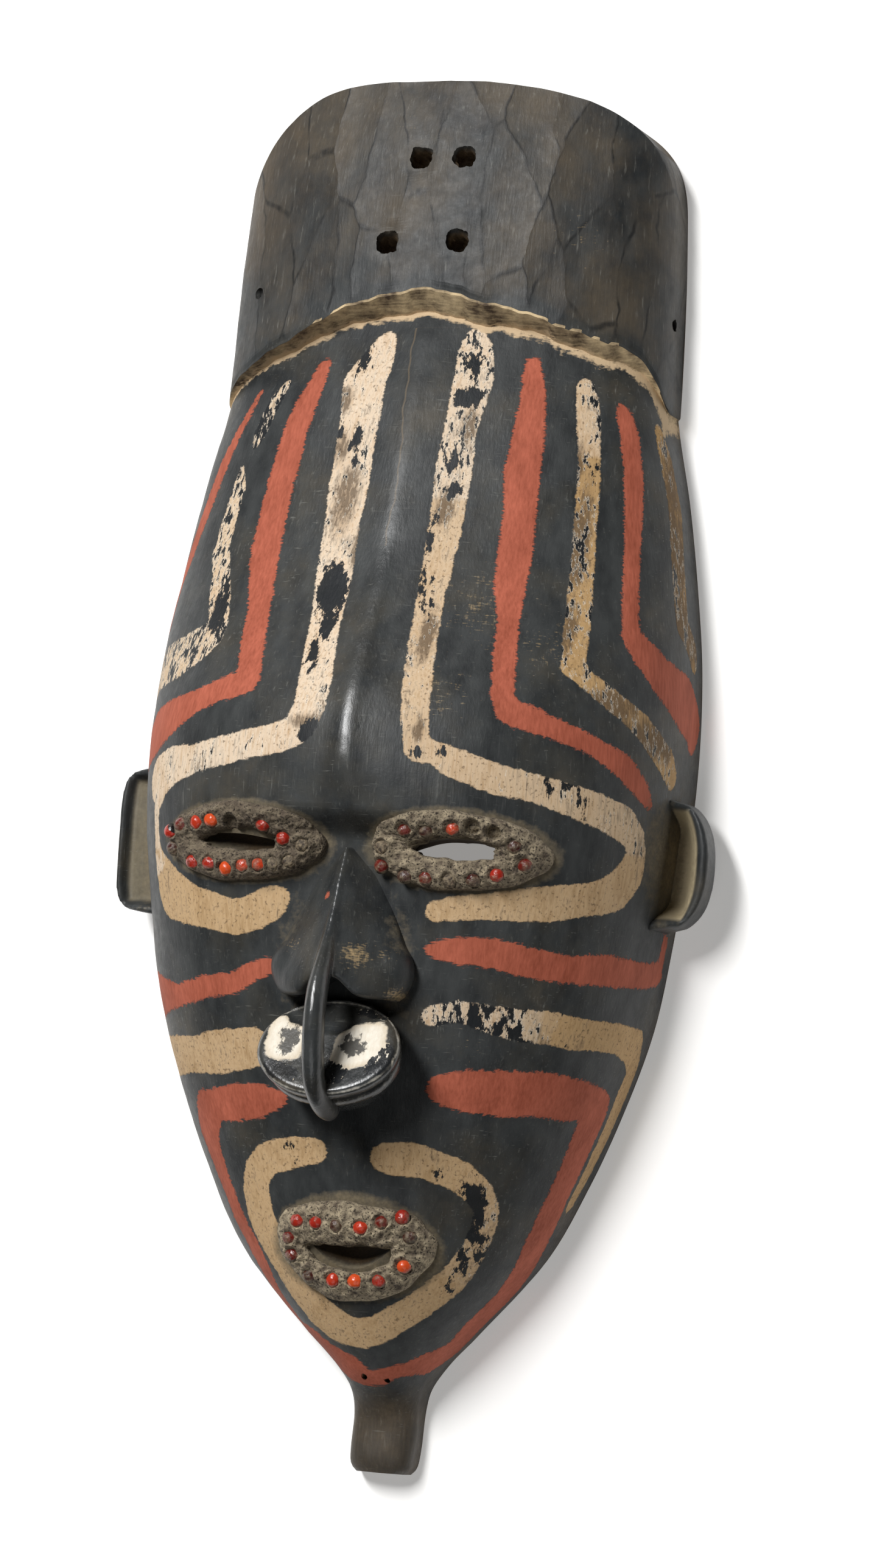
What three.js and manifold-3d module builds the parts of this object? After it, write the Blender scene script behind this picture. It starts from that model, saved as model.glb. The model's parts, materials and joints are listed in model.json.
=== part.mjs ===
// A carved and painted wooden dance mask, lying on its back with the face up.
// Units are millimetres. X runs across the face, Y from the chin peg to the top of the cap, and Z from the back rim
// to the nose. The back rim is flat and lies in the plane Z = 0.
import * as THREE from "three";
import { mergeVertices } from "three/addons/utils/BufferGeometryUtils.js";
import Module from "manifold-3d";

const wasm = await Module();
wasm.setup();

// Overall length, and the thickness of the wood
const LENGTH = 460;
const PEG_END_Y = -LENGTH / 2;
const CAP_TOP_Y = LENGTH / 2;
const RIM_WALL = 10;
const WALL = 11;

// Half width of the face at the rim, as [Y, half width]
const FACE_HALF_WIDTH = [
  [PEG_END_Y, 8.5], [-228, 10.2], [-222, 10.9], [-208, 11.1], [-201, 12.6], [-193, 18.2], [-184, 27], [-158, 49.8],
  [-132, 63.4], [-106, 73.8], [-80, 81.8], [-54, 86], [-22, 89.4], [10, 91], [40, 90],
  [68, 86.5], [95, 82], [120, 76.5], [160, 70],
];

// Height of the face over the rim plane along its middle, as [Y, height]
const FACE_HEIGHT = [
  [PEG_END_Y, 11], [-226, 13.5], [-212, 14], [-204, 19], [-196, 29], [-180, 41], [-155, 51], [-128, 61], [-100, 71],
  [-70, 80], [-40, 87], [-18, 92], [4, 92], [18, 88.5], [32, 82], [50, 73], [70, 64.5], [90, 58], [108, 53.5],
  [124, 49], [140, 43], [152, 39.5], [162, 37],
];

// How far the middle of the face leans to the side towards the peg, as [Y, shift]
const FACE_SWAY = [[PEG_END_Y, 0.5], [-215, 1.3], [-198, 1.9], [-186, 1], [-165, 0]];

// How square the rounded sections are, as [Y, power]; 2 is an ellipse
const SECTION_POWER = [[-200, 2.3], [-150, 2.25], [-80, 2.3], [-30, 2.4], [20, 2.25], [60, 2.25], [110, 2.3]];

// The cap stands proud of the forehead. Its lower edge is an arc, and its top corners are well rounded.
const CAP_HALF_WIDTH = [[110, 76.5], [135, 76.5], [165, 75.8], [190, 74.5], [CAP_TOP_Y, 72]];
const CAP_HEIGHT = [[110, 58], [135, 52], [158, 48], [180, 46], [206, 42], [CAP_TOP_Y, 36]];
const CAP_EDGE = { y: 158.5, radius: 96 };
const CAP_CORNER = { drop: 44, left: { spread: 4, bend: 0.75 }, right: { spread: 2.4, bend: 0.3 } };

// Height of the hollow behind the face, as [Y, height]
const HOLLOW_END_Y = CAP_TOP_Y + 12;
const HOLLOW_HEIGHT = [
  [-186, 3], [-176, 17], [-160, 31], [-140, 42], [-120, 51], [-100, 58], [-70, 66], [-40, 72], [-16, 77], [8, 77],
  [30, 70], [50, 61], [70, 52], [90, 45.5], [110, 41], [130, 36.5], [150, 32.5], [170, 32], [200, 30], [HOLLOW_END_Y, 22],
];
const HOLLOW_CHIN_Y = HOLLOW_HEIGHT[0][0];
const HOLLOW_POWER = 2.2;
const HOLLOW_CLEAR = 5;

// Relief of the face
const KEEL = { height: 3, reach: 30, top: 140, bottom: -20 };
const BROW = { y: -17, fall: 13, depth: 8, reach: 32, lost: -105 };
const MOUTH = { x: 0.5, y: -157, halfLength: 14.5, sag: 3.6, gap: 5.6 };
const LIP_MOUND = { height: 4, reachX: 27, reachY: 19 };
const EYE = { x: 36.5, y: -29.5, halfLength: 17, halfGap: 3.6 };

// Nose, the septum rod in front of it, and the ringed disc under it
const NOSE = {
  root: { y: -29, halfWidth: 1, ridge: 85, drop: 6, base: 77 },
  tip: { y: -72, halfWidth: 22, ridge: 100, drop: 15, base: 70 },
  widening: 0.42,
};
const NOSTRIL = { x: 12, y: -75, z: 86, radii: [8, 9, 8.5] };
const SEPTUM = { halfWidth: 3.4, halfHeight: 4.4 };
const SEPTUM_LINE = [
  [0, -52, 90], [0, -62, 96], [0, -72, 101.5], [0, -84, 104.5], [0, -96, 103.5], [0, -106, 99.5], [0.6, -113, 91],
  [1.6, -114.5, 82],
];
const DISC = { y: -94, z: 89, halfWidth: 24, halfHeight: 18, height: 26, tilt: 0.49 };

// Ears: how far they stand out, their height, and the scoop in front
const EAR = { inset: 8, reach: 13.5, y: -26, leftHalf: 25.5, rightHalf: 23, backZ: 7, frontZ: 28 };
const EAR_SCOOP = { x: 91, z: 31, radii: [8, 18, 14] };

// Holes through the cap for lashings, and one small hole towards each of its sides, leaning outwards
const LASHING_HOLE_RADIUS = 3.5;
const LASHING_HOLES = [[-6.2, 203.5], [8.8, 204], [-14.6, 173], [9.6, 174]];
const SIDE_HOLE_RADIUS = 1.8;
const SIDE_HOLES = [
  { x: -62.6, y: 158, z: 34, lean: 50 },
  { x: 76, y: 153.5, z: 12, lean: -82 },
];

// Putty rings round the eyes and the mouth, and the seeds pressed into them, as [X, Y] from the middle of the ring
const FIT_GAP = 0.3;
const PUTTY_BITE = 7;
const EYE_RING = { halfWidth: 30, halfHeight: 12.5, crestX: 24, crestY: 8, proud: 4.2 };
const MOUTH_RING = { halfWidth: 27, halfHeight: 16, crestX: 20, crestY: 10, proud: 4.2 };
const SEED = { radii: [2.4, 2.35, 2.2], sink: 0.6 };
const LEFT_EYE_SEEDS = [
  [-26.5, 2.6], [-21.6, 4.6], [-15, 5.4], [-9.2, 6.2], [9.5, 5.2], [15.8, 1.2], [22.2, -0.6], [-25.6, -2.8],
  [-17, -7.2], [-10.2, -7.6], [-4, -9], [2.2, -8], [7.4, -7.6], [12.6, -7], [17.8, -6],
];
const RIGHT_EYE_SEEDS = [
  [-15.4, 5.6], [-8.2, 5.6], [0.5, 6.6], [19, 2.4], [21.8, -3.2], [13.8, -7], [6.6, -9], [-0.9, -9.6],
  [-8.6, -9.3], [-15.8, -9], [-24.2, -6], [-23.8, -0.2],
];
const MOUTH_SEEDS = [
  [-17, 7.2], [-10, 7], [-3, 6.4], [5.2, 6.3], [12, 8.3], [18.4, 10.4], [20.4, 4.4], [18.2, -5],
  [10.2, -10.2], [2.2, -11], [-5.4, -11], [-13.8, -10], [-19.8, -3.7], [-20.6, 1.6],
];

// How finely the faces are cut
const ACROSS = 21;
const FACE_ROWS = [
  PEG_END_Y, -226, -218, -208, -203, -198, -190, -180, -168, -156, -144, -132, -118, -104, -90, -76, -64, -52, -42,
  -34, -29, -24, -19, -14, -8, 0, 8, 18, 30, 44, 58, 72, 88, 104, 120, 136, 148, CAP_EDGE.y + 1,
];
const QUARTER_TURN = Math.PI / 2;

const clamp01 = (value) => Math.min(1, Math.max(0, value));
const bell = (distance, reach) => Math.exp(-((distance / reach) ** 2));

// A soft step from 0 at `from` to 1 at `to`.
function softStep(value, from, to) {
  const t = clamp01((value - from) / (to - from));
  return t * t * (3 - 2 * t);
}

// A smooth curve through stations given as [position, value].
function through(stations, at) {
  const last = stations.length - 1;
  if (at <= stations[0][0]) return stations[0][1];
  if (at >= stations[last][0]) return stations[last][1];
  let k = 0;
  while (at > stations[k + 1][0]) k += 1;
  const slope = (i) => {
    const before = stations[Math.max(i - 1, 0)];
    const after = stations[Math.min(i + 1, last)];
    return (after[1] - before[1]) / (after[0] - before[0]);
  };
  const span = stations[k + 1][0] - stations[k][0];
  const t = (at - stations[k][0]) / span;
  const start = stations[k][1] * (2 * t ** 3 - 3 * t ** 2 + 1) + slope(k) * span * (t ** 3 - 2 * t ** 2 + t);
  return start + stations[k + 1][1] * (3 * t ** 2 - 2 * t ** 3) + slope(k + 1) * span * (t ** 3 - t ** 2);
}

// The height that carving adds to the plain section at a place on the face.
function reliefAt(x, y) {
  const keelFade = softStep(y, KEEL.bottom, KEEL.bottom + 20) * (1 - softStep(y, KEEL.top, KEEL.top + 20));
  const keel = KEEL.height * keelFade * clamp01(1 - Math.abs(x) / KEEL.reach) ** 1.6;
  const underBrow = (1 - softStep(y, BROW.y - BROW.fall, BROW.y)) * softStep(y, BROW.lost, BROW.y - BROW.fall);
  const brow = -BROW.depth * underBrow * bell(x, BROW.reach);
  const mound = LIP_MOUND.height * bell(x - MOUTH.x, LIP_MOUND.reachX) * bell(y - MOUTH.y, LIP_MOUND.reachY);
  return keel + brow + mound;
}

// A point of a rounded section over the rim plane. Turn runs from -1 at the left rim to 1 at the right rim.
function sectionPoint(turn, halfWidth, height, rimWall, power) {
  const angle = turn * QUARTER_TURN;
  return {
    x: halfWidth * Math.sign(turn) * Math.abs(Math.sin(angle)) ** (2 / power),
    z: rimWall + (height - rimWall) * Math.max(0, Math.cos(angle)) ** (2 / power),
  };
}

// Height of the face at a place on it.
function faceHeightAt(x, y) {
  const power = through(SECTION_POWER, y);
  const height = through(FACE_HEIGHT, y);
  const share = clamp01(Math.abs(x) / through(FACE_HALF_WIDTH, y));
  return RIM_WALL + (height - RIM_WALL) * (1 - share ** power) ** (1 / power) + reliefAt(x, y);
}

// A closed geometry as a solid that can be joined and cut.
function solidOf(geometry) {
  const bare = geometry.index ? geometry.toNonIndexed() : geometry.clone();
  bare.deleteAttribute("normal");
  bare.deleteAttribute("uv");
  const merged = mergeVertices(bare, 1e-3);
  return new wasm.Manifold(
    new wasm.Mesh({
      numProp: 3,
      vertProperties: merged.attributes.position.array,
      triVerts: new Uint32Array(merged.index.array),
    }),
  );
}

// A solid as a named mesh.
function meshOf(solid, name, material) {
  const { numProp, numVert, vertProperties, triVerts } = solid.getMesh();
  const positions = new Float32Array(numVert * 3);
  for (let i = 0; i < numVert; i += 1) {
    positions.set(vertProperties.subarray(i * numProp, i * numProp + 3), i * 3);
  }
  const geometry = new THREE.BufferGeometry();
  geometry.setAttribute("position", new THREE.BufferAttribute(positions, 3));
  geometry.setIndex(new THREE.BufferAttribute(triVerts, 1));
  geometry.computeVertexNormals();
  const mesh = new THREE.Mesh(geometry, material);
  mesh.name = name;
  return mesh;
}

// Carves a block: place(across, along, isFront) moves each point of a box whose sides run from -1 to 1.
function carvedBlock(across, along, place) {
  const block = new THREE.BoxGeometry(2, 2, 2, across, along, 1);
  const points = block.attributes.position;
  for (let i = 0; i < points.count; i += 1) {
    points.setXYZ(i, ...place(points.getX(i), points.getY(i), points.getZ(i) > 0));
  }
  return solidOf(block);
}

// Carves a tube along Y with a rounded front and a flat back. place(turn, along) gives a point of the front,
// and backZ is the height of the flat back. Both turn and along run from -1 to 1.
function carvedTube(across, along, backZ, place) {
  const tube = new THREE.CylinderGeometry(1, 1, 2, across + 3, along);
  const points = tube.attributes.position;
  for (let i = 0; i < points.count; i += 1) {
    const [sideways, lengthways, depth] = [points.getX(i), points.getY(i), points.getZ(i)];
    const onAxis = Math.hypot(sideways, depth) < 0.5;
    const step = Math.round((Math.atan2(sideways, depth) / QUARTER_TURN / 4 + 0.5) * (across + 3)) % (across + 3);
    const turn = onAxis ? 0 : clamp01((step - 1) / across) * 2 - 1;
    const [x, y, z] = place(turn, lengthways);
    const isFront = step > 0 && step < across + 2;
    points.setXYZ(i, x, y, onAxis ? (z + backZ) / 2 : isFront ? z : backZ);
  }
  return solidOf(tube);
}

function faceBlock() {
  const last = FACE_ROWS.length - 1;
  return carvedTube(ACROSS, last, 0, (turn, along) => {
    const y = FACE_ROWS[Math.round(((along + 1) / 2) * last)];
    const height = through(FACE_HEIGHT, y);
    const rimWall = Math.min(RIM_WALL, 0.5 * height);
    const { x, z } = sectionPoint(turn, through(FACE_HALF_WIDTH, y), height, rimWall, through(SECTION_POWER, y));
    return [x + through(FACE_SWAY, y), y, z + reliefAt(x, y)];
  });
}

function capBlock() {
  return carvedTube(ACROSS, 8, 0, (turn, along) => {
    const power = through(SECTION_POWER, CAP_TOP_Y);
    const share = Math.sin(Math.abs(turn) * QUARTER_TURN) ** (2 / power);
    const x = share * through(CAP_HALF_WIDTH, CAP_EDGE.y);
    const low = CAP_EDGE.y - CAP_EDGE.radius + Math.sqrt(CAP_EDGE.radius ** 2 - x ** 2);
    const { spread, bend } = turn < 0 ? CAP_CORNER.left : CAP_CORNER.right;
    const high = CAP_TOP_Y - CAP_CORNER.drop * (1 - (1 - share ** spread) ** bend);
    const y = THREE.MathUtils.lerp(low, high, (along + 1) / 2);
    const point = sectionPoint(turn, through(CAP_HALF_WIDTH, y), through(CAP_HEIGHT, y), RIM_WALL, power);
    return [point.x, y, point.z];
  });
}

// The hollow behind, open at the back and at the top of the cap.
function hollowBlock() {
  return carvedTube(15, 22, -HOLLOW_CLEAR, (turn, along) => {
    const y = THREE.MathUtils.lerp(HOLLOW_CHIN_Y, HOLLOW_END_Y, (along + 1) / 2);
    const outer = y < CAP_EDGE.y ? through(FACE_HALF_WIDTH, y) : through(CAP_HALF_WIDTH, y) - HOLLOW_CLEAR;
    const { x, z } = sectionPoint(turn, Math.max(outer - WALL, 2), through(HOLLOW_HEIGHT, y), 1, HOLLOW_POWER);
    return [x, y, z];
  });
}

// The nose is a wedge: a ridge, two flanks and short side walls, widening quickly to the wings.
function noseBlock() {
  const { root, tip, widening } = NOSE;
  const { lerp } = THREE.MathUtils;
  return carvedBlock(6, 8, (across, along, isFront) => {
    const t = (1 - along) / 2;
    const spread = t ** widening;
    const flank = lerp(root.drop, tip.drop, spread) * Math.abs(across) ** 1.25;
    const z = isFront ? lerp(root.ridge, tip.ridge, t) - flank : lerp(root.base, tip.base, t);
    return [across * lerp(root.halfWidth, tip.halfWidth, spread), lerp(root.y, tip.y, t), z];
  });
}

function ellipsoid(radii, centre, around, down) {
  const ball = new THREE.SphereGeometry(1, around, down).scale(...radii).translate(...centre);
  return solidOf(ball);
}

// The septum stands in front of the disc as a smooth rod and curls in under it.
function septumRod() {
  const line = new THREE.CatmullRomCurve3(SEPTUM_LINE.map((point) => new THREE.Vector3(...point)));
  const section = new THREE.Shape().absellipse(0, 0, SEPTUM.halfHeight, SEPTUM.halfWidth, 0, Math.PI * 2);
  return solidOf(new THREE.ExtrudeGeometry(section, { steps: 12, curveSegments: 4, extrudePath: line }));
}

// The disc under the nose tips its face up. Two grooves run round its side.
function ringedDisc() {
  const profile = [
    [0, -DISC.height], [0.5, -DISC.height], [0.8, -13], [0.78, -11.6], [0.94, -10], [0.94, -7], [0.87, -5.8],
    [0.98, -4.6], [1, -1.5], [0.94, 0], [0, 0],
  ].map(([share, height]) => new THREE.Vector2(share, height));
  const disc = new THREE.LatheGeometry(profile, 22).rotateX(QUARTER_TURN);
  disc.scale(DISC.halfWidth, DISC.halfHeight, 1).rotateX(-DISC.tilt);
  return solidOf(disc.translate(0, DISC.y, DISC.z));
}

// An ear is a D-shaped block with a scoop in its front.
function ear(side) {
  const root = through(FACE_HALF_WIDTH, EAR.y) - EAR.inset;
  const halfHeight = side < 0 ? EAR.leftHalf : EAR.rightHalf;
  const block = carvedBlock(3, 8, (across, along, isFront) => {
    const out = (across * side + 1) / 2;
    const bulge = (1 - Math.abs(along) ** 3) ** 0.5;
    const x = root + (EAR.inset + 0.25 * EAR.reach + 0.75 * EAR.reach * bulge) * out;
    const end = 1 - 0.08 * out;
    const z = isFront ? EAR.frontZ - 5 * out ** 3 : EAR.backZ + 5 * out ** 3;
    return [side * x, EAR.y + along * halfHeight * end, z];
  });
  return block.subtract(ellipsoid(EAR_SCOOP.radii, [side * EAR_SCOOP.x, EAR.y, EAR_SCOOP.z], 12, 8));
}

// A slit with pointed ends, cut through along Z. Positive sag bends its middle down.
function slitCutter(centreX, centreY, halfLength, halfGap, sag) {
  const slit = new THREE.Shape();
  slit.moveTo(centreX - halfLength, centreY);
  slit.quadraticCurveTo(centreX, centreY - 2 * (sag + halfGap), centreX + halfLength, centreY);
  slit.quadraticCurveTo(centreX, centreY - 2 * (sag - halfGap), centreX - halfLength, centreY);
  return solidOf(new THREE.ExtrudeGeometry(slit, { depth: 120, bevelEnabled: false, curveSegments: 6 }));
}

const eyeSlit = (side) => slitCutter(side * EYE.x, EYE.y, EYE.halfLength, EYE.halfGap, 0);
const mouthSlit = () => slitCutter(MOUTH.x, MOUTH.y, MOUTH.halfLength, MOUTH.gap / 2, MOUTH.sag);

function maskBody() {
  const hollow = hollowBlock();
  const nostril = (side) => ellipsoid(NOSTRIL.radii, [side * NOSTRIL.x, NOSTRIL.y, NOSTRIL.z], 10, 6);
  let body = faceBlock().add(capBlock()).add(ear(-1)).add(ear(1)).subtract(hollow);
  body = body.add(noseBlock()).subtract(nostril(-1)).subtract(nostril(1));
  body = body.add(ringedDisc()).add(septumRod());
  body = body.subtract(eyeSlit(-1)).subtract(eyeSlit(1)).subtract(mouthSlit());
  for (const [x, y] of LASHING_HOLES) {
    const hole = new THREE.CylinderGeometry(LASHING_HOLE_RADIUS, LASHING_HOLE_RADIUS, 80, 10).rotateX(QUARTER_TURN);
    body = body.subtract(solidOf(hole.translate(x, y, 40)));
  }
  for (const { x, y, z, lean } of SIDE_HOLES) {
    const hole = new THREE.CylinderGeometry(SIDE_HOLE_RADIUS, SIDE_HOLE_RADIUS, 40, 8).rotateX(QUARTER_TURN);
    body = body.subtract(solidOf(hole.rotateY(THREE.MathUtils.degToRad(-lean)).translate(x, y, z)));
  }
  return body;
}

// A seed as an upright ellipsoid, grown by a margin for its pocket.
function seedSolid(x, y, z, margin) {
  const radii = SEED.radii.map((radius) => radius + margin);
  const ball = new THREE.SphereGeometry(1, 6, 4).rotateX(QUARTER_TURN).scale(...radii);
  return solidOf(ball.translate(x, y, z));
}

// A ring of putty on the face, with a pocket for each seed. Returns the ring and its seeds.
function puttyRing(centreX, centreY, ring, seedPlaces, slit, face) {
  const torus = new THREE.TorusGeometry(1, 0.5, 5, 18);
  const points = torus.attributes.position;
  const tube = 0.5;
  for (let i = 0; i < points.count; i += 1) {
    const around = Math.atan2(points.getY(i), points.getX(i));
    const radial = (Math.hypot(points.getX(i), points.getY(i)) - 1) / tube;
    const lift = points.getZ(i) / tube;
    const spanX = ring.halfWidth - ring.crestX;
    const spanY = ring.halfHeight - ring.crestY;
    const x = centreX + (ring.crestX + spanX * radial) * Math.cos(around);
    const y = centreY + (ring.crestY + spanY * radial) * Math.sin(around);
    const z = faceHeightAt(x, y) + (lift > 0 ? ring.proud * lift : PUTTY_BITE * lift);
    points.setXYZ(i, x, y, z);
  }
  let putty = solidOf(torus).subtract(face.translate([0, 0, FIT_GAP])).subtract(slit);
  const seeds = seedPlaces.map(([acrossRing, alongRing]) => {
    const x = centreX + acrossRing;
    const y = centreY + alongRing;
    const z = faceHeightAt(x, y) + ring.proud - SEED.sink;
    putty = putty.subtract(seedSolid(x, y, z, FIT_GAP));
    return seedSolid(x, y, z, 0);
  });
  return { putty, seeds };
}

const wood = new THREE.MeshStandardMaterial({ color: 0x2b2d2e, roughness: 0.55, metalness: 0 });
const puttyGrey = new THREE.MeshStandardMaterial({ color: 0x7b705e, roughness: 0.95, metalness: 0 });
const seedRed = new THREE.MeshStandardMaterial({ color: 0xb3331f, roughness: 0.35, metalness: 0 });

const mask = new THREE.Group();
mask.add(meshOf(maskBody(), "mask_body", wood));

const face = faceBlock().add(noseBlock());
const rings = [
  ["eye_left", -EYE.x, EYE.y, EYE_RING, LEFT_EYE_SEEDS, eyeSlit(-1)],
  ["eye_right", EYE.x, EYE.y, EYE_RING, RIGHT_EYE_SEEDS, eyeSlit(1)],
  ["mouth", MOUTH.x, MOUTH.y, MOUTH_RING, MOUTH_SEEDS, mouthSlit()],
];
for (const [place, x, y, ring, seedPlaces, slit] of rings) {
  const { putty, seeds } = puttyRing(x, y, ring, seedPlaces, slit, face);
  mask.add(meshOf(putty, `putty_${place}`, puttyGrey));
  seeds.forEach((seed, i) => {
    mask.add(meshOf(seed, `seed_${place}_${String(i + 1).padStart(2, "0")}`, seedRed));
  });
}

export default mask;
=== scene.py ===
"""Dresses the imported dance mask: its carving, painted bands, putty, seeds, floor, light and camera.

The mask lies on its back rim with the face up. X runs across the face, Y from the chin peg to the top of the cap,
and Z from the rim to the nose. Shapes are worked out in millimetres, and each finished mesh is turned to metres.
"""
import json
import logging
import math
from dataclasses import dataclass, field
from enum import Enum
from typing import Any, Callable, Iterable

import bmesh
import bpy
import numpy as np
from mathutils import Matrix, Vector, noise

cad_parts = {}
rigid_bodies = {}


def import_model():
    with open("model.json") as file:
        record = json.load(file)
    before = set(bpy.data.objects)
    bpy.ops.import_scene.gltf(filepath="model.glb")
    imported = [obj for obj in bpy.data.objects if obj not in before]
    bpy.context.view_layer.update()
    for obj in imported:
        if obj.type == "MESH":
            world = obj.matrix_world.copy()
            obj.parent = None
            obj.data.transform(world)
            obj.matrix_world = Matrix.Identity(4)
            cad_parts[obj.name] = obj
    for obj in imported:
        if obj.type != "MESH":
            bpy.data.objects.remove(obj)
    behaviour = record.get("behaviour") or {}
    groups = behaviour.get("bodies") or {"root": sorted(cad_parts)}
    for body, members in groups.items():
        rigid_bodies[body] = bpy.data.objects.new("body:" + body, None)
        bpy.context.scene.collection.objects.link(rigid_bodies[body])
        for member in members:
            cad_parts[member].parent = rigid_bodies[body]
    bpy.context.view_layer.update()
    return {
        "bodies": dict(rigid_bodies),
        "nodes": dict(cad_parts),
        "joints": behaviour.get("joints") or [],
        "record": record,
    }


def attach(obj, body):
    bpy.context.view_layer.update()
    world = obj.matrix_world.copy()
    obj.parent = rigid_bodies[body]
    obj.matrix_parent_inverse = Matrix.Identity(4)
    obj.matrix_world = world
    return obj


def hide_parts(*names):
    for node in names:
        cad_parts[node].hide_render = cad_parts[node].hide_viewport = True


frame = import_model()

LOG = logging.getLogger("dance_mask")
MM = 0.001
BODY = "root"
Pair = tuple[float, float]
Triple = tuple[float, float, float]
Four = tuple[float, float, float, float]
Stations = tuple[Pair, ...]
Solid = bpy.types.Object
Socket = bpy.types.NodeSocket
Mesh = bpy.types.Mesh
Array = np.ndarray
Shades = tuple[str, str]
Place = Callable[[Array, Array], Array]
# Gaps are measured up to this many millimetres
FAR = 20.0
# The back edge of a carved block keeps its sharpness by a first ring of faces this high
SKIRT_STEP = 0.8
# Edges sharper than this many degrees aren't smoothed over
CRISP_ANGLE = 48.0


class Side(Enum):
    """The two sides of the mask, as the sign of X."""

    LEFT = -1
    RIGHT = 1

    def of(self, pair: tuple) -> Any:
        """Picks the left or the right one of a pair."""
        return pair[self is Side.RIGHT]


def through(stations: Stations, at: Any) -> Array:
    """Follows a smooth curve through stations.

    Args:
        stations: Pairs of position and value, with rising positions.
        at: The positions asked for.

    Returns:
        The value at each position, held level past both ends.
    """
    places, values = np.array(stations, float).T
    slopes = np.empty_like(values)
    slopes[1:-1] = (values[2:] - values[:-2]) / (places[2:] - places[:-2])
    slopes[0] = (values[1] - values[0]) / (places[1] - places[0])
    slopes[-1] = (values[-1] - values[-2]) / (places[-1] - places[-2])
    spot = np.clip(at, places[0], places[-1])
    left = np.clip(np.searchsorted(places, spot, side="right") - 1, 0, len(places) - 2)
    span = places[left + 1] - places[left]
    t = (spot - places[left]) / span
    start = values[left] * (2 * t**3 - 3 * t**2 + 1) + slopes[left] * span * (t**3 - 2 * t**2 + t)
    return start + values[left + 1] * (3 * t**2 - 2 * t**3) + slopes[left + 1] * span * (t**3 - t**2)


def soft_step(value: Any, start: float, end: float) -> Array:
    """Steps softly from 0 at start to 1 at end."""
    t = np.clip((np.asarray(value, float) - start) / (end - start), 0, 1)
    return t * t * (3 - 2 * t)


def bell(distance: Any, reach: float) -> Array:
    """A bell curve of height 1 that falls to about a third at the given reach."""
    return np.exp(-((np.asarray(distance, float) / reach) ** 2))


def rough(points: Array, size: float, octaves: int = 3, seed: float = 0.0) -> Array:
    """Gives smooth random heights at points.

    Args:
        points: Places in millimetres, one per row.
        size: The width of one lump in millimetres.
        octaves: How many finer layers are added.
        seed: Shifts the pattern.

    Returns:
        A value from about -1 to 1 for each point.
    """
    shift = Vector((seed, seed * 0.7, -seed))
    return np.array([noise.fractal(Vector(p) / size + shift, 0.9, 2.0, octaves) for p in points])


def linear(code: str) -> Four:
    """Turns an sRGB hex colour into the linear colour that sockets take."""
    parts = [int(code[i : i + 2], 16) / 255 for i in (1, 3, 5)]
    return (*(p / 12.92 if p <= 0.04045 else ((p + 0.055) / 1.055) ** 2.4 for p in parts), 1.0)


def vectors(mesh: Mesh, what: str = "co") -> Array:
    """Reads a vector of each of a mesh's vertices.

    Args:
        mesh: The mesh.
        what: co for the vertex's place, or normal.

    Returns:
        Rows of X, Y and Z.
    """
    flat = np.empty(len(mesh.vertices) * 3)
    mesh.vertices.foreach_get(what, flat)
    return flat.reshape(-1, 3)


def move_vertices(mesh: Mesh, points: Array) -> None:
    """Writes new places to a mesh's vertices."""
    mesh.vertices.foreach_set("co", points.ravel())
    mesh.update()


def store(mesh: Mesh, name: str, values: Array) -> None:
    """Stores one number for each vertex, which a material reads by its name."""
    mesh.attributes.new(name, "FLOAT", "POINT").data.foreach_set("value", values.astype(float))


def stored(mesh: Mesh, name: str) -> Array:
    """Reads back one number for each vertex.

    Args:
        mesh: The mesh.
        name: The name that the numbers are stored under.

    Returns:
        The numbers.
    """
    values = np.empty(len(mesh.vertices))
    mesh.attributes[name].data.foreach_get("value", values)
    return values


def scallops(
    points: Array, width: float, length: float, lean: float, seed: float,
) -> tuple[Array, Array]:
    """Gives the shallow hollows that an adze leaves side by side.

    Args:
        points: Places in millimetres, one per row.
        width: The width of one cut.
        length: Its length, which runs along Y before it leans.
        lean: How far the cuts lean from Y, in degrees.
        seed: Shifts the pattern.

    Returns:
        The height in each cut, 0 in its middle and about 1 at its edge, and how near each place is to an edge.
    """
    angle = math.radians(lean)
    across = (points[:, 0] * math.cos(angle) + points[:, 1] * math.sin(angle)) / width
    along = (points[:, 1] * math.cos(angle) - points[:, 0] * math.sin(angle)) / length
    cells = np.stack([across, along, points[:, 2] / width * 0.4 + seed], -1)
    gaps = np.array([noise.voronoi(Vector(cell))[0][:2] for cell in cells])
    return np.clip(gaps[:, 0], 0, 1.1) ** 2, bell(gaps[:, 1] - gaps[:, 0], 0.06)


def placed(bm: bmesh.types.BMesh, place: Place) -> None:
    """Moves each vertex of a flat grid to its place on the piece.

    Args:
        bm: The grid, which runs from -1 to 1 both ways.
        place: Gives the points for places in the grid.
    """
    grid = np.array([vert.co[:2] for vert in bm.verts])
    for vert, spot in zip(bm.verts, place(grid[:, 0], grid[:, 1])):
        vert.co = spot


def link_mesh(bm: bmesh.types.BMesh, name: str) -> Solid:
    """Turns a bmesh into an object of the scene, with its faces pointing out.

    Args:
        bm: The bmesh, which is used up.
        name: The object's name.

    Returns:
        The object.
    """
    bmesh.ops.recalc_face_normals(bm, faces=bm.faces)
    mesh = bpy.data.meshes.new(name)
    bm.to_mesh(mesh)
    bm.free()
    made = bpy.data.objects.new(name, mesh)
    bpy.context.scene.collection.objects.link(made)
    return made


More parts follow.
